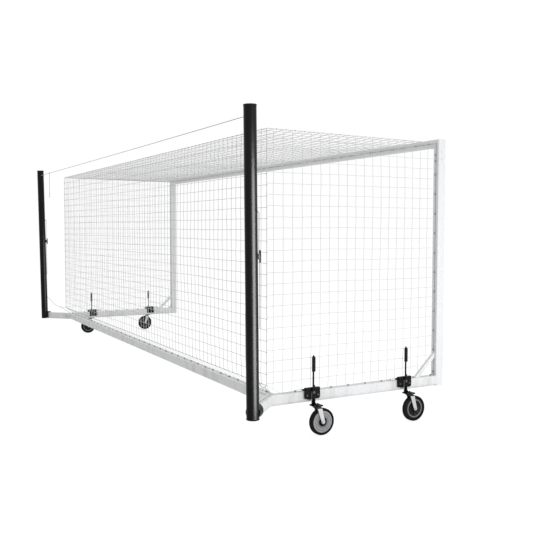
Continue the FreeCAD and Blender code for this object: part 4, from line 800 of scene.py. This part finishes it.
# %% Copies turned by two directions
set_tree, nodes, wires, close = recipe("set_on_points", {"Shape": "Object", "Material": "Material"})
out = named_direction(nodes, "out")
along = named_direction(nodes, "along")
axes_settings = {"primary_axis": "Y", "secondary_axis": "Z"}
axes_sockets = {"Primary Axis": out, "Secondary Axis": along}
turn = nodes.add("FunctionNodeAxesToRotation", axes_settings, axes_sockets)
shape_sockets = {"Object": wires["Shape"]}
shape = nodes.add("GeometryNodeObjectInfo", {"transform_space": "ORIGINAL"}, shape_sockets, "Geometry")
copy_sockets = {"Points": wires["Geometry"], "Instance": shape, "Rotation": turn}
close([nodes.add("GeometryNodeInstanceOnPoints", {}, copy_sockets)], smooth=False)


def set_copies(name, mesh, spots, material, body="root", replaced=()):
    """Copies of a mesh at each (point, outward direction, direction along)."""
    model = bpy.data.objects.new(name + "_pattern", mesh)
    scene.collection.objects.link(model)
    points, outs, alongs = zip(*spots)
    base = base_points(name, points, out=outs, along=alongs)
    piece = grow(name, base, set_tree, {"Shape": model, "Material": material}, body)
    bpy.data.objects.remove(model)
    bpy.data.meshes.remove(mesh)
    if replaced:
        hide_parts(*replaced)


# %% Where the clips stand
PITCH_CLIP = 0.199
FIRST_CLIP = 0.143
SECOND_CLIP = 0.372
TWIN_CLIP = 0.062
CLIPS_EACH_WAY = 18
SECTION_DEPTH = 0.105
UNITS = {"front": 0.530, "rear": 1.612}
UNIT_REACH = 0.078


def clip_row(end):
    """Where the clips stand along a post or a rail, from its corner up to an end."""
    row = [FIRST_CLIP]
    while SECOND_CLIP + (len(row) - 1) * PITCH_CLIP < end:
        row.append(SECOND_CLIP + (len(row) - 1) * PITCH_CLIP)
    return row


post_row = clip_row(2.38)
post_row.append(post_row[-1] - TWIN_CLIP)
rail_row = []
for setback in clip_row(1.92):
    if all(abs(setback - unit) > UNIT_REACH for unit in UNITS.values()):
        rail_row.append(setback)
clip_spots = []
for side in (-1, 1):
    clip_spots += [(place(side * RAIL, SECTION_DEPTH, height), NORTH, UP) for height in post_row]
    clip_spots += [(place(side * RAIL, setback, SECTION_DEPTH), UP, -NORTH) for setback in rail_row]
for step in range(-CLIPS_EACH_WAY, CLIPS_EACH_WAY + 1):
    clip_spots.append((place(step * PITCH_CLIP, SECTION_DEPTH, BAR_LINE), NORTH, -EAST))
    clip_spots.append((place(step * PITCH_CLIP, HEM_LINE, SECTION_DEPTH), UP, EAST))
clip = extruded(clip_outline, CLIP_HALF, 0.0006)
set_copies("clips", clip, clip_spots, clip_grey, replaced=["net_clips"])

# %% [markdown]
# ## Bolts
# A hexagon head is a six-sided prism whose corners are turned off by a cone, and it sits on a washer. The
# same head serves the corner bolts, the clamp bolts and their nuts. The corner bolts were coated with the
# frame, so they hardly show. The clamp bolts on the black brackets are dull dark zinc.


# %% Hexagon heads
def ring_mesh(name, rings, segments, closed=True):
    """A skin over rings of points: each ring is a list of as many vectors as there are segments."""
    mesh = bpy.data.meshes.new(name)
    vertices = [tuple(point) for loop in rings for point in loop]
    faces = []
    for row in range(len(rings) - 1):
        for step in range(segments):
            a = row * segments + step
            b = row * segments + (step + 1) % segments
            faces.append((a, b, b + segments, a + segments))
    if closed:
        faces.append(tuple(reversed(range(segments))))
        faces.append(tuple(range((len(rings) - 1) * segments, len(rings) * segments)))
    mesh.from_pydata(vertices, [], faces)
    mesh.update()
    return mesh


def hexagon_head(flats, height, washer):
    """A washer and a chamfered hexagon on it, standing along +Y from the seat at y = 0."""
    segments = 24

    def hexagonal(radius, lift, round_off):
        loop = []
        for step in range(segments):
            angle = math.tau * step / segments
            side = flats / 2 / math.cos((angle + math.pi / 6) % (math.pi / 3) - math.pi / 6)
            reach_out = min(side, radius) if round_off else radius
            loop.append(Vector((reach_out * math.sin(angle), lift, reach_out * math.cos(angle))))
        return loop

    corner = flats / 2 / math.cos(math.pi / 6)
    loops = [
        hexagonal(washer, 0.0, False),
        hexagonal(washer, 0.0016, False),
        hexagonal(washer * 0.97, 0.0019, False),
        hexagonal(flats * 0.48, 0.0019, False),
        hexagonal(corner, 0.0022, True),
        hexagonal(corner, height - flats * 0.07, True),
        hexagonal(flats * 0.47, height, False),
        hexagonal(flats * 0.30, height - 0.0003, False),
    ]
    return ring_mesh("hexagon_head", loops, segments)


# %% Where the bolts sit
MOUTH_HALF = 3.66
MOUTH_TOP = 2.44
BAR_TOP = 2.52
RAIL_FACE = 3.740
BOLT_FLATS = 0.017
BOLT_HEIGHT = 0.006
BOLT_SETBACK = 0.062
CLAMP_SPREAD = 0.058
CLAMP_HEIGHT = 0.072
HEAD_SEAT = 0.022
NUT_SEAT = 0.086
corner_bolts = []
clamp_bolts = []
for side in (-1, 1):
    for drop in (0.045, 0.120):
        corner_bolts.append((place(side * RAIL_FACE, BOLT_SETBACK, MOUTH_TOP - drop), side * EAST, UP))
        corner_bolts.append((place(side * (MOUTH_HALF - drop), BOLT_SETBACK, BAR_TOP), UP, NORTH))
    for unit in UNITS.values():
        for spread in (-CLAMP_SPREAD, CLAMP_SPREAD):
            outer = place(side * (RAIL_FACE + HEAD_SEAT), unit + spread, CLAMP_HEIGHT)
            inner = place(side * (RAIL_FACE - NUT_SEAT), unit + spread, CLAMP_HEIGHT)
            clamp_bolts.append((outer, side * EAST, UP))
            clamp_bolts.append((inner, -side * EAST, UP))
head = hexagon_head(BOLT_FLATS, BOLT_HEIGHT, 0.0105)
set_copies("corner_bolts", head.copy(), corner_bolts, frame_white, replaced=["frame_bolts"])
set_copies("clamp_bolts", head, clamp_bolts, dark_zinc, replaced=["frame_bolts"])

# %% [markdown]
# ## Parts that ride on the wheel units
# There are four alike units, and those on the left rail are turned half round. Every part of a unit is
# drawn once, in the unit's own frame: x away from the rail's face, y along the rail and z up from the
# frame's underside. A copy is then moved to each unit, with its place in the mesh, and rides on that
# unit's lever, fork or wheel.

# %% The units' places
ends = {}
for side_name, side in SIDES:
    turn_round = Matrix.Rotation(math.pi if side < 0 else 0.0, 4, "Z")
    for unit_name, setback in UNITS.items():
        shift = Matrix.Translation(place(side * RAIL_FACE, setback, 0))
        ends[side_name + "_" + unit_name] = shift @ turn_round
print(sorted(ends))


def joined(name, parts):
    """One mesh out of several, each with the matrix that puts it in its place."""
    form = bmesh.new()
    for mesh, matrix in parts:
        piece = mesh.copy()
        piece.transform(matrix)
        form.from_mesh(piece)
        bpy.data.meshes.remove(piece)
    whole = bpy.data.meshes.new(name)
    form.to_mesh(whole)
    form.free()
    return whole


def coated(mesh, material, crease=35):
    """Smooth shading with edges kept sharp above an angle, and one finish."""
    mesh.shade_smooth()
    mesh.set_sharp_from_angle(angle=math.radians(crease))
    mesh.materials.clear()
    mesh.materials.append(material)
    return mesh


def on_each_unit(name, master, body, replaced=None, only=None):
    """A copy of a master mesh on each unit."""
    for end, matrix in ends.items():
        if only and end not in only:
            continue
        mesh = master.copy()
        mesh.transform(matrix)
        node = [replaced + "_" + end] if replaced else ()
        keep_piece(name + "_" + end, mesh, body + "_" + end, node)


# %% [markdown]
# ## Wheels
# Hub and tyre are bodies of revolution, so a section turned about the axle gives them: a list of radii
# and half widths, and the same list backwards for the other flank. The hub is a thin web between a rim
# and a sleeve, stiffened by ribs, as a moulded wheel is. The ribs repeat by a rule and come from Geometry
# Nodes. On the wheel nearest to the camera a grey disc covers the ribs. Its light grey is painted light:
# the wheels are alike, and the others show their ribs dark. The others carry a grey ring on each flank,
# whose lighter grey is a painted highlight on the rim.

# %% Turning a section about an axle
SEGMENTS = 96
AXLE = Vector((0.100, 0.050, -0.165))


def other_flank(flank):
    """The same points on the wheel's other side."""
    return [(radius, -half) for radius, half in flank]


def turned(name, flank, mirrored=True):
    """A wheel's section, given on one flank as radius and half width, turned about X."""
    section = flank + other_flank(flank)[::-1] if mirrored else flank
    rows = len(section)
    vertices = []
    for step in range(SEGMENTS):
        c = math.cos(math.tau * step / SEGMENTS)
        s = math.sin(math.tau * step / SEGMENTS)
        vertices += [(half, radius * c, radius * s) for radius, half in section]
    faces = []
    for step in range(SEGMENTS):
        for row in range(rows):
            a = step * rows + row
            b = step * rows + (row + 1) % rows
            shift = ((step + 1) % SEGMENTS - step) * rows
            faces.append((a, b, b + shift, a + shift))
    mesh = bpy.data.meshes.new(name)
    mesh.from_pydata(vertices, [], faces)
    form = bmesh.new()
    form.from_mesh(mesh)
    bmesh.ops.recalc_face_normals(form, faces=form.faces)
    form.to_mesh(mesh)
    form.free()
    return mesh


def arc(radius, half, corner, steps):
    """The rounded outer corner of a section."""
    points = []
    for step in range(steps + 1):
        angle = math.pi / 2 * step / steps
        out = radius - corner + corner * math.sin(angle)
        points.append((out, half - corner + corner * math.cos(angle)))
    return points


# %% Tyres
tyre_black = moulded("tyre_black", (0.0045, 0.0045, 0.0048), 0.62, 0.13)
tyre_flank = [
    (0.1085, 0.0188), (0.1104, 0.0236), (0.1120, 0.0250), (0.1140, 0.0246), (0.1148, 0.0250),
    *arc(0.125, 0.025, 0.010, 6)[1:],
    (0.1250, 0.0112), (0.1238, 0.0104), (0.1238, 0.0088), (0.1250, 0.0080), (0.1250, 0.0016),
    (0.1238, 0.0008),
]
hung = Matrix.Translation(AXLE)
tyre = joined("tyre", [(turned("tyre", tyre_flank), hung)])
on_each_unit("tyre_ring", coated(tyre, tyre_black), "wheel", "tyre")

# %% Hubs
hub_dark = moulded("hub_dark", (0.006, 0.006, 0.0064), 0.42, 0.22)
hub_flank = [
    (0.0063, 0.0277), (0.0150, 0.0277), (0.0152, 0.0268), (0.0166, 0.0268), (0.0168, 0.0277),
    (0.0196, 0.0277), (0.0204, 0.0268), (0.0226, 0.0124), (0.0240, 0.0110), (0.0630, 0.0110),
    (0.0650, 0.0118), (0.0732, 0.0192), (0.0745, 0.0200), (0.0900, 0.0200), (0.0904, 0.0190),
    (0.0926, 0.0190), (0.0930, 0.0200), (0.1015, 0.0200), (0.1078, 0.0142),
]
hub = joined("hub", [(turned("hub", hub_flank), hung)])
on_each_unit("hub_body", coated(hub, hub_dark), "wheel", "wheel_hub")

# %% Ribs of the hubs
RIBS = 10
rib_outline = [
    (-0.0250, 0.0205), (0.0250, 0.0205), (0.0195, 0.0300), (0.0180, 0.0735), (-0.0180, 0.0735),
    (-0.0195, 0.0300),
]
for end, matrix in ends.items():
    spots = []
    for step in range(RIBS):
        angle = math.tau * (step + 0.35) / RIBS
        radial = Vector((0, math.cos(angle), math.sin(angle)))
        tangent = Vector((0, -math.sin(angle), math.cos(angle)))
        spots.append((matrix @ AXLE, matrix.to_3x3() @ radial, matrix.to_3x3() @ tangent))
    rib = extruded(rib_outline, 0.0018, 0.0005)
    set_copies("hub_ribs_" + end, rib, spots, hub_dark, "wheel_" + end)

# %% Finish of the cover disc, painted light with painted shade
# The disc's light grey is painted light: the hubs of the other, alike wheels are dark.
hub_painted_light = Finish("hub_painted_light", (0.33, 0.335, 0.34), 0.5, specular_ior_level=0.4)
hub_centre = ends["left_rear"] @ AXLE
span = {0: hub_painted_light.where, 1: hub_centre}
far_out = hub_painted_light.add("ShaderNodeVectorMath", {"operation": "DISTANCE"}, span, "Value")
scuffs = hub_painted_light.noise(45.0, 5.0, (1, 1, 1), 0.65)
# Painted shade: the disc is darker in the recess round the axle and in its groove ring.
painted_recess_shade = 1 - far_out.above(0.064, 0.006)
painted_groove_shade = far_out.above(0.0780, 0.0015) * (1 - far_out.above(0.0845, 0.0015))
shade = painted_recess_shade * 0.5 + painted_groove_shade * 0.45
worn = hub_painted_light.blend(scuffs.above(0.52, 0.16) * 0.5, hub_painted_light.even, (0.22, 0.222, 0.225))
hub_painted_light.set("Base Color", hub_painted_light.blend(shade, worn, (0.055, 0.056, 0.058)))
hub_painted_light.bump(scuffs, 0.0004, 0.25)


# %% Cover disc in painted light, and rim rings with a painted highlight
def on_both_flanks(name, flank):
    """A ring on each side of the wheel."""
    sides = (flank, other_flank(flank))
    return joined(name, [(turned(name, side, False), hung) for side in sides])


cover_flank = [
    (0.0430, 0.0196), (0.0430, 0.0218), (0.0442, 0.0228), (0.0580, 0.0228), (0.0590, 0.0202),
    (0.0632, 0.0202), (0.0642, 0.0228), (0.0762, 0.0228), (0.0772, 0.0202), (0.0846, 0.0202),
    (0.0856, 0.0228), (0.0975, 0.0228), (0.1005, 0.0210), (0.1012, 0.0196),
]
covers = coated(on_both_flanks("covers", cover_flank), hub_painted_light.material)
on_each_unit("hub_cover", covers, "wheel", only=["left_rear"])

# Painted highlight: the rings' lighter grey stands for the shine on the rim; the raised bead and its gloss are
# geometry and finish.
ring_painted_highlight = moulded("ring_painted_highlight", (0.105, 0.107, 0.11), 0.34, 0.7)
ring_flank = [
    (0.0770, 0.0190), (0.0780, 0.0206), (0.0800, 0.0218), (0.0840, 0.0223), (0.0880, 0.0218),
    (0.0900, 0.0206), (0.0910, 0.0190),
]
rim_highlight_rings = coated(on_both_flanks("rim_highlight_rings", ring_flank), ring_painted_highlight)
open_wheels = [end for end in ends if end != "left_rear"]
on_each_unit("rim_ring", rim_highlight_rings, "wheel", only=open_wheels)

# %% [markdown]
# ## Forks and axles
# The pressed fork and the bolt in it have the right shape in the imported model, so they only get their
# finishes. The fork's swivel head lies under a black dust cap: the same finish turns black above the
# crown, by a mask on the height, which goes with the fork because it reads the object's own coordinates.

# %% Finish of the forks
CROWN_TOP = UNDERSIDE - 0.0365
fork_finish = Finish("fork_zinc", (0.58, 0.59, 0.60), 0.36)
grain = zinc_flakes(fork_finish)
capped = fork_finish.height().above(CROWN_TOP, 0.0003)
plated = fork_finish.blend(grain * 0.4, fork_finish.even, (0.46, 0.47, 0.48))
fork_finish.set("Base Color", fork_finish.blend(capped, plated, (0.006, 0.006, 0.0065)))
fork_finish.set("Metallic", (1 - capped) * 0.85)
fork_finish.set("Roughness", 0.36 + grain * 0.08 + capped * 0.12)
fork_finish.bump(fork_finish.noise(700.0, 2.0), 0.0002, 0.15)
for end in ends:
    paint("castor_fork_" + end, fork_finish.material)
    paint("axle_" + end, bright_zinc)
    paint("lock_plunger_" + end, bright_zinc)

# %% [markdown]
# ## Levers
# A lever is cut from flat bar: a stem that carries the grip, an arm with the pivot's boss, a locking disc
# with two notches inside the bracket, and the plate that the castor is bolted to. Each is an outline
# given a thickness, and one helper joins them. The plate is as wide as the photograph shows it, which is
# a little less than in the part.

# %% A lever
STANDING = Matrix(((0, 0, 1, 0), (1, 0, 0, 0), (0, 1, 0, 0), (0, 0, 0, 1)))
PIVOT = 0.100
BLADE = 0.035
blade_outline = [
    (-0.020, -0.016), (0.020, -0.016), (0.020, 0.108), (0.0188, 0.113), (0.0160, 0.118),
    (0.0075, 0.146), (0.0075, 0.150), (0.0160, 0.150), (0.0170, 0.151), (0.0170, 0.165),
    (0.0160, 0.166), (0.0070, 0.166), (0.0070, 0.390), (0.0055, 0.392), (-0.0055, 0.392),
    (-0.0070, 0.390), (-0.0070, 0.150), (-0.0085, 0.143), (-0.0160, 0.118), (-0.0188, 0.113),
    (-0.020, 0.108),
]


def disc_outline(radius, first, last, steps):
    """Points of an arc from one angle to another, in degrees."""
    angles = [math.radians(first + (last - first) * step / steps) for step in range(steps + 1)]
    return [(radius * math.cos(angle), radius * math.sin(angle)) for angle in angles]


notched = disc_outline(0.038, -123, 124.5, 40) + [(-0.018, 0.0313), (-0.018, 0.0207)]
notched += disc_outline(0.038, 147, 214.5, 10) + [(-0.0313, -0.018), (-0.0207, -0.018)]
plate_outline = [
    (0.038, -0.042), (0.046, -0.050), (0.128, -0.050), (0.136, -0.042), (0.136, 0.042), (0.128, 0.050),
    (0.046, 0.050), (0.038, 0.042),
]
rib_side = [(0.038, -0.009), (0.084, -0.009), (0.038, 0.050)]
LYING = Matrix(((1, 0, 0, 0), (0, 0, -1, 0), (0, 1, 0, 0), (0, 0, 0, 1)))
boss_outline = disc_outline(0.018, 0, 350, 35)
lever_parts = [
    (extruded(blade_outline, 0.005, 0.0007), Matrix.Translation((BLADE, 0, 0)) @ STANDING),
    (extruded(boss_outline, 0.0105), Matrix.Translation((0.0195, 0, PIVOT)) @ STANDING),
    (extruded(notched, 0.005, 0.0006), Matrix.Translation((0.014, 0, PIVOT)) @ STANDING),
    (extruded(plate_outline, 0.004, 0.0007), Matrix.Translation((0, 0, -0.012))),
    (extruded(rib_side, 0.004, 0.0005), LYING),
]
lever_mesh = coated(joined("lever", lever_parts), steel_black, 30)
# Painted highlight: the blade's narrow edges low down take bright zinc, as a light line on the black bar.
lever_mesh.materials.append(bright_zinc)
for face in lever_mesh.polygons:
    painted_highlight_edge = 0.0295 < face.center.x < 0.0405 and -0.02 < face.center.z < 0.12
    if painted_highlight_edge and abs(face.normal.y) > 0.7 and abs(face.center.y) > 0.0155:
        face.material_index = 1
on_each_unit("lever_bar", lever_mesh, "lever_arm", "lever")

# %% Bolts of the castors
castor_head = hexagon_head(0.013, 0.0055, 0.0082)
for end, matrix in ends.items():
    spots = []
    for reach_out in (0.053, 0.123):
        for across in (-0.037, 0.037):
            spots.append((matrix @ Vector((reach_out, across, -0.008)), UP, NORTH))
    heads = castor_head.copy()
    set_copies("castor_bolts_" + end, heads, spots, dark_zinc, "lever_arm_" + end)

# %% [markdown]
# ## Grips
# The grip is a rubber sleeve with a pointed top and shallow grooves for the fingers. It is a skin over
# rounded rectangles, one above the other, whose size follows the height: that gives the grooves and the
# point together.

# %% A ribbed grip
GRIP_LOW = 0.292
GRIP_LONG = 0.155
GRIP_HALF_X = 0.0118
GRIP_HALF_Y = 0.0160
GRIP_STEPS = 62
MOUTH_END = 0.03
TIP_START = 0.84
FIRST_GROOVE = 0.12
LAST_GROOVE = 0.76
GROOVES = 11


def rounded_ring(half_x, half_y, centre, height, count=24, squareness=3.8):
    """A ring between an ellipse and a rectangle, level at a height."""
    loop = []
    for step in range(count):
        angle = math.tau * step / count
        c = math.cos(angle)
        s = math.sin(angle)
        x = math.copysign(abs(c) ** (2 / squareness), c) * half_x
        y = math.copysign(abs(s) ** (2 / squareness), s) * half_y
        loop.append(Vector((centre.x + x, centre.y + y, height)))
    return loop


grip_rings = []
for step in range(GRIP_STEPS + 1):
    share = step / GRIP_STEPS
    to_tip = max(0, share - TIP_START) / (1 - TIP_START)
    size = 1.0
    if share < MOUTH_END:
        size = 0.86 + 0.14 * share / MOUTH_END
    elif share > TIP_START:
        size = max(0.16, 1 - to_tip * 0.84)
    elif FIRST_GROOVE < share < LAST_GROOVE:
        wave = math.sin(math.tau * GROOVES * (share - FIRST_GROOVE) / (LAST_GROOVE - FIRST_GROOVE))
        size = 1 - 0.055 * max(0.0, wave) ** 2
    centre = Vector((BLADE, 0.0035 * (1 - to_tip), 0))
    height = GRIP_LOW + GRIP_LONG * share
    grip_rings.append(rounded_ring(GRIP_HALF_X * size, GRIP_HALF_Y * size, centre, height))
grip_rubber = moulded("grip_rubber", (0.004, 0.004, 0.0043), 0.55, 0.15)
grip = ring_mesh("grip", grip_rings, 24)
on_each_unit("grip_sleeve", coated(grip, grip_rubber, 60), "lever_arm", "grip")

# %% [markdown]
# ## Welds
# The braces and the castors' plates are welded on. A weld is a row of drops, each half over the last. The
# recipe puts a round drop, half sunk in the seam, on every point of a line, so a new weld is only a new
# pair of ends.

# %% Weld beads
weld_tree, nodes, wires, close = recipe("weld_bead", {"Drop": "Float", "Material": "Material"})
drop = nodes.add("GeometryNodeMeshIcoSphere", {}, {"Radius": wires["Drop"], "Subdivisions": 2})
drops = nodes.add("GeometryNodeInstanceOnPoints", {}, {"Points": wires["Geometry"], "Instance": drop})
close([drops])


def weld(name, runs, size, material, body="root"):
    """Beads along straight runs, each run a pair of ends."""
    points = []
    for start, end in runs:
        count = max(2, round((end - start).length / (size * 0.9)))
        for step in range(count + 1):
            shake = noise.noise_vector(start * 31 + (end - start) * step * 7) * size * 0.12
            points.append(start.lerp(end, step / count) + shake)
    piece = grow(name, base_points(name, points), weld_tree, {"Drop": size, "Material": material}, body)


def loop_runs(corners):
    """The sides of a closed outline as pairs of ends."""
    return list(zip(corners, corners[1:] + corners[:1]))


# %% Welds of the braces
BRACE_RUN = 0.355
BRACE_RISE = 0.342
BRACE_FOOT = 0.055
BRACE_HALF = 0.0125
brace_slope = (BRACE_RISE - SECTION_DEPTH) / (BRACE_RUN - SECTION_DEPTH)
seat_start = BRACE_RUN - BRACE_FOOT
seat_low = BRACE_RISE - BRACE_FOOT * brace_slope
inner = RAIL - BRACE_HALF
outer = RAIL + BRACE_HALF
rail_seat = [(inner, seat_start), (outer, seat_start), (outer, BRACE_RUN), (inner, BRACE_RUN)]
post_seat = [(inner, seat_low), (outer, seat_low), (outer, BRACE_RISE), (inner, BRACE_RISE)]
frame_welds = []
for side in (-1, 1):
    frame_welds += loop_runs([place(side * x, y, SECTION_DEPTH) for x, y in rail_seat])
    frame_welds += loop_runs([place(side * x, SECTION_DEPTH, z) for x, z in post_seat])
weld("frame_welds", frame_welds, 0.0022, frame_white)

# %% Welds of the levers
WELD_LINE = 0.0405
WELD_HEIGHT = -0.0078
for end, matrix in ends.items():
    strip_welds = []
    for start, stop in ((-0.019, -0.005), (0.005, 0.019)):
        run = [matrix @ Vector((WELD_LINE, across, WELD_HEIGHT)) for across in (start, stop)]
        strip_welds.append(run)
    weld("strip_weld_" + end, strip_welds, 0.0016, steel_black, "lever_arm_" + end)

# %% [markdown]
# ## The drop cord and its snap hook
# Near the right-hand post a short cord hangs from the cross rope, with a snap hook for the net's upper
# edge. The knot is two turns round the rope. The hook is bent wire with a swivel barrel and a straight
# gate, so the wire is a curve with a round section, made a mesh, and the barrel is turned.

# %% Bent wire
HOOK_X = 3.360
HOOK_Y = 1.18275
KNOT_HEIGHT = 2.8370
KNOT_RADIUS = 0.0060
KNOT_OFFSET = 0.0034
ROUND = 20


def bent_wire(name, points, radius, cyclic=False):
    """A mesh of round wire bent along a few points."""
    piece = soft_line(name, points, radius * 2)
    piece.data.splines[0].use_cyclic_u = cyclic
    return mesh_of_curve(piece)


def upright_turned(name, section, centre):
    """A section of (radius, height) turned about a vertical axis, closed at both ends."""
    rings = []
    for radius, height in section:
        loop = []
        for step in range(ROUND):
            angle = math.tau * step / ROUND
            loop.append(Vector((radius * math.cos(angle), radius * math.sin(angle), height)) + centre)
        rings.append(loop)
    return ring_mesh(name, rings, ROUND)


# %% The hook
hook_line = [
    (0.0105, 2.4670), (0.0115, 2.4740), (0.0100, 2.4822), (0.0, 2.4832), (-0.0105, 2.4822),
    (-0.0117, 2.4700), (-0.0117, 2.4400), (-0.0117, 2.4240), (-0.0060, 2.4217), (0.0060, 2.4217),
    (0.0117, 2.4240), (0.0116, 2.4330), (0.0112, 2.4410),
]
gate_line = [(0.0108, 2.4700), (0.0104, 2.4550), (0.0090, 2.4390)]
barrel = [
    (0.0030, 2.4800), (0.0058, 2.4806), (0.0066, 2.4830), (0.0066, 2.4890), (0.0052, 2.4900),
    (0.0052, 2.4915), (0.0068, 2.4925), (0.0068, 2.4972), (0.0050, 2.4984),
]
hook_points = [(HOOK_X + x, HOOK_Y, z) for x, z in hook_line]
gate_points = [(HOOK_X + x, HOOK_Y, z) for x, z in gate_line]
still = Matrix.Identity(4)
hook_mesh = joined("hook", [
    (bent_wire("hook_wire", hook_points, 0.0030), still),
    (bent_wire("hook_gate", gate_points, 0.0021), still),
    (upright_turned("hook_barrel", barrel, Vector((HOOK_X, HOOK_Y, 0))), still),
])
hook = keep_piece("hook_wires", coated(hook_mesh, bright_zinc), replaced=["snap_hook"])

# %% Knot and drop cord
knot_parts = []
for offset in (-KNOT_OFFSET, KNOT_OFFSET):
    loop = []
    for step in range(8):
        angle = math.tau * step / 8
        beside = KNOT_RADIUS * math.cos(angle)
        loop.append((HOOK_X + offset, HOOK_Y + beside, KNOT_HEIGHT + KNOT_RADIUS * math.sin(angle)))
    knot_parts.append((bent_wire("knot_turn", loop, ROPE / 2, True), still))
knot_mesh = joined("knot", knot_parts)
knot_finish = moulded("knot_braid", GREY_ROPE, 0.8, 0.2)
knot = keep_piece("drop_knot", coated(knot_mesh, knot_finish, 180), replaced=["drop_cord"])
drop_line = [
    (HOOK_X, HOOK_Y, 2.8288), (HOOK_X, HOOK_Y, 2.7400), (HOOK_X + 0.0010, HOOK_Y - 0.0010, 2.6200),
    (HOOK_X, HOOK_Y, 2.4988),
]
rope("drop_rope", drop_line, GREY_ROPE, "drop_cord")

# %% [markdown]
# ## Floor, light and background
# The object stands on a seamless white ground. The floor keeps its shadow: for the camera it glows a
# little, so that it is white where nothing shades it, and what it reflects is what a shadow takes away.
# The world is white for the camera and for reflections, and dimmer as a lamp, so that white paint still
# reads as a shade of grey. One large soft panel stands to the left in front and one hangs overhead. Each
# black post also has a panel of its own, seen only in its gloss: a lamp for all that is strong enough for
# black would burn out the white paint.

# %% Floor
GLOW_SHARE = 0.72
GLOW = 1.19
floor_mesh = bpy.data.meshes.new("floor")
floor_mesh.from_pydata([(-60, -60, 0), (60, -60, 0), (60, 60, 0), (-60, 60, 0)], [], [(0, 1, 2, 3)])
floor = bpy.data.objects.new("floor", floor_mesh)
scene.collection.objects.link(floor)
seamless = Finish("seamless_floor", (0.90, 0.90, 0.90), 0.9)
seamless.set("Specular IOR Level", 0.0)
glow = seamless.add("ShaderNodeEmission", {}, {"Strength": GLOW})
to_camera = seamless.add("ShaderNodeLightPath", output="Is Camera Ray")
lit = Wire(seamless, seamless.shader.outputs[0])
both = seamless.add("ShaderNodeMixShader", {}, {0: to_camera * GLOW_SHARE, 1: lit, 2: glow})
seamless.tree.links.new(both.socket, seamless.tree.get_output_node("ALL").inputs[0])
floor_mesh.materials.append(seamless.material)

# %% World
AMBIENT = 0.62
world = bpy.data.worlds.new("studio")
world.use_nodes = True
world.node_tree.nodes.clear()
scene.world = world
sky = Nodes(world.node_tree)
kinds = ("Is Camera Ray", "Is Glossy Ray", "Is Transmission Ray")
rays = [sky.add("ShaderNodeLightPath", output=kind) for kind in kinds]
seen = rays[0].maths("MAXIMUM", rays[0], rays[1].maths("MAXIMUM", rays[1], rays[2]))
strength = seen * (1 - AMBIENT) + AMBIENT
white = sky.add("ShaderNodeBackground", {}, {"Color": (1, 1, 1, 1), "Strength": strength})
sky.tree.links.new(white.socket, sky.tree.nodes.new("ShaderNodeOutputWorld").inputs[0])


# %% Lamps
def panel(name, spot, aim, width, height, power, only=()):
    """A soft rectangular lamp that faces a point. Kept to some nodes, it only adds a highlight to them."""
    lamp_data = bpy.data.lights.new(name, "AREA")
    lamp_data.shape = "RECTANGLE"
    lamp_data.size = width
    lamp_data.size_y = height
    lamp_data.energy = power
    lamp = bpy.data.objects.new(name, lamp_data)
    lamp.visible_camera = False
    scene.collection.objects.link(lamp)
    ray = (Vector(aim) - Vector(spot)).normalized()
    lamp.matrix_world = Matrix.Translation(spot) @ ray.to_track_quat("-Z", "Y").to_matrix().to_4x4()
    if only:
        lamp.visible_diffuse = False
        lit_nodes = bpy.data.collections.new(name + "_lights")
        for node in only:
            lit_nodes.objects.link(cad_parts[node])
        lamp.light_linking.receiver_collection = lit_nodes


panel("side_panel", (-8.6, -1.6, 1.3), (-4.05, 1.15, 1.3), 3.4, 2.6, 128)
panel("near_post_panel", (-5.19, 0.765, 1.28), (-4.06, 1.165, 1.28), 1.0, 2.5, 295, ["rear_post_left"])
panel("far_post_panel", (3.08, 0.475, 0.85), (4.06, 1.165, 0.85), 0.9, 1.7, 44, ["rear_post_right"])
panel("top_panel", (0.0, -1.5, 8.0), (0.0, 0.0, 0.0), 10.0, 6.0, 160)

# %% [markdown]
# ## End
# The colours are shown through the Standard view transform.

# %% End
scene.view_settings.view_transform = "Standard"
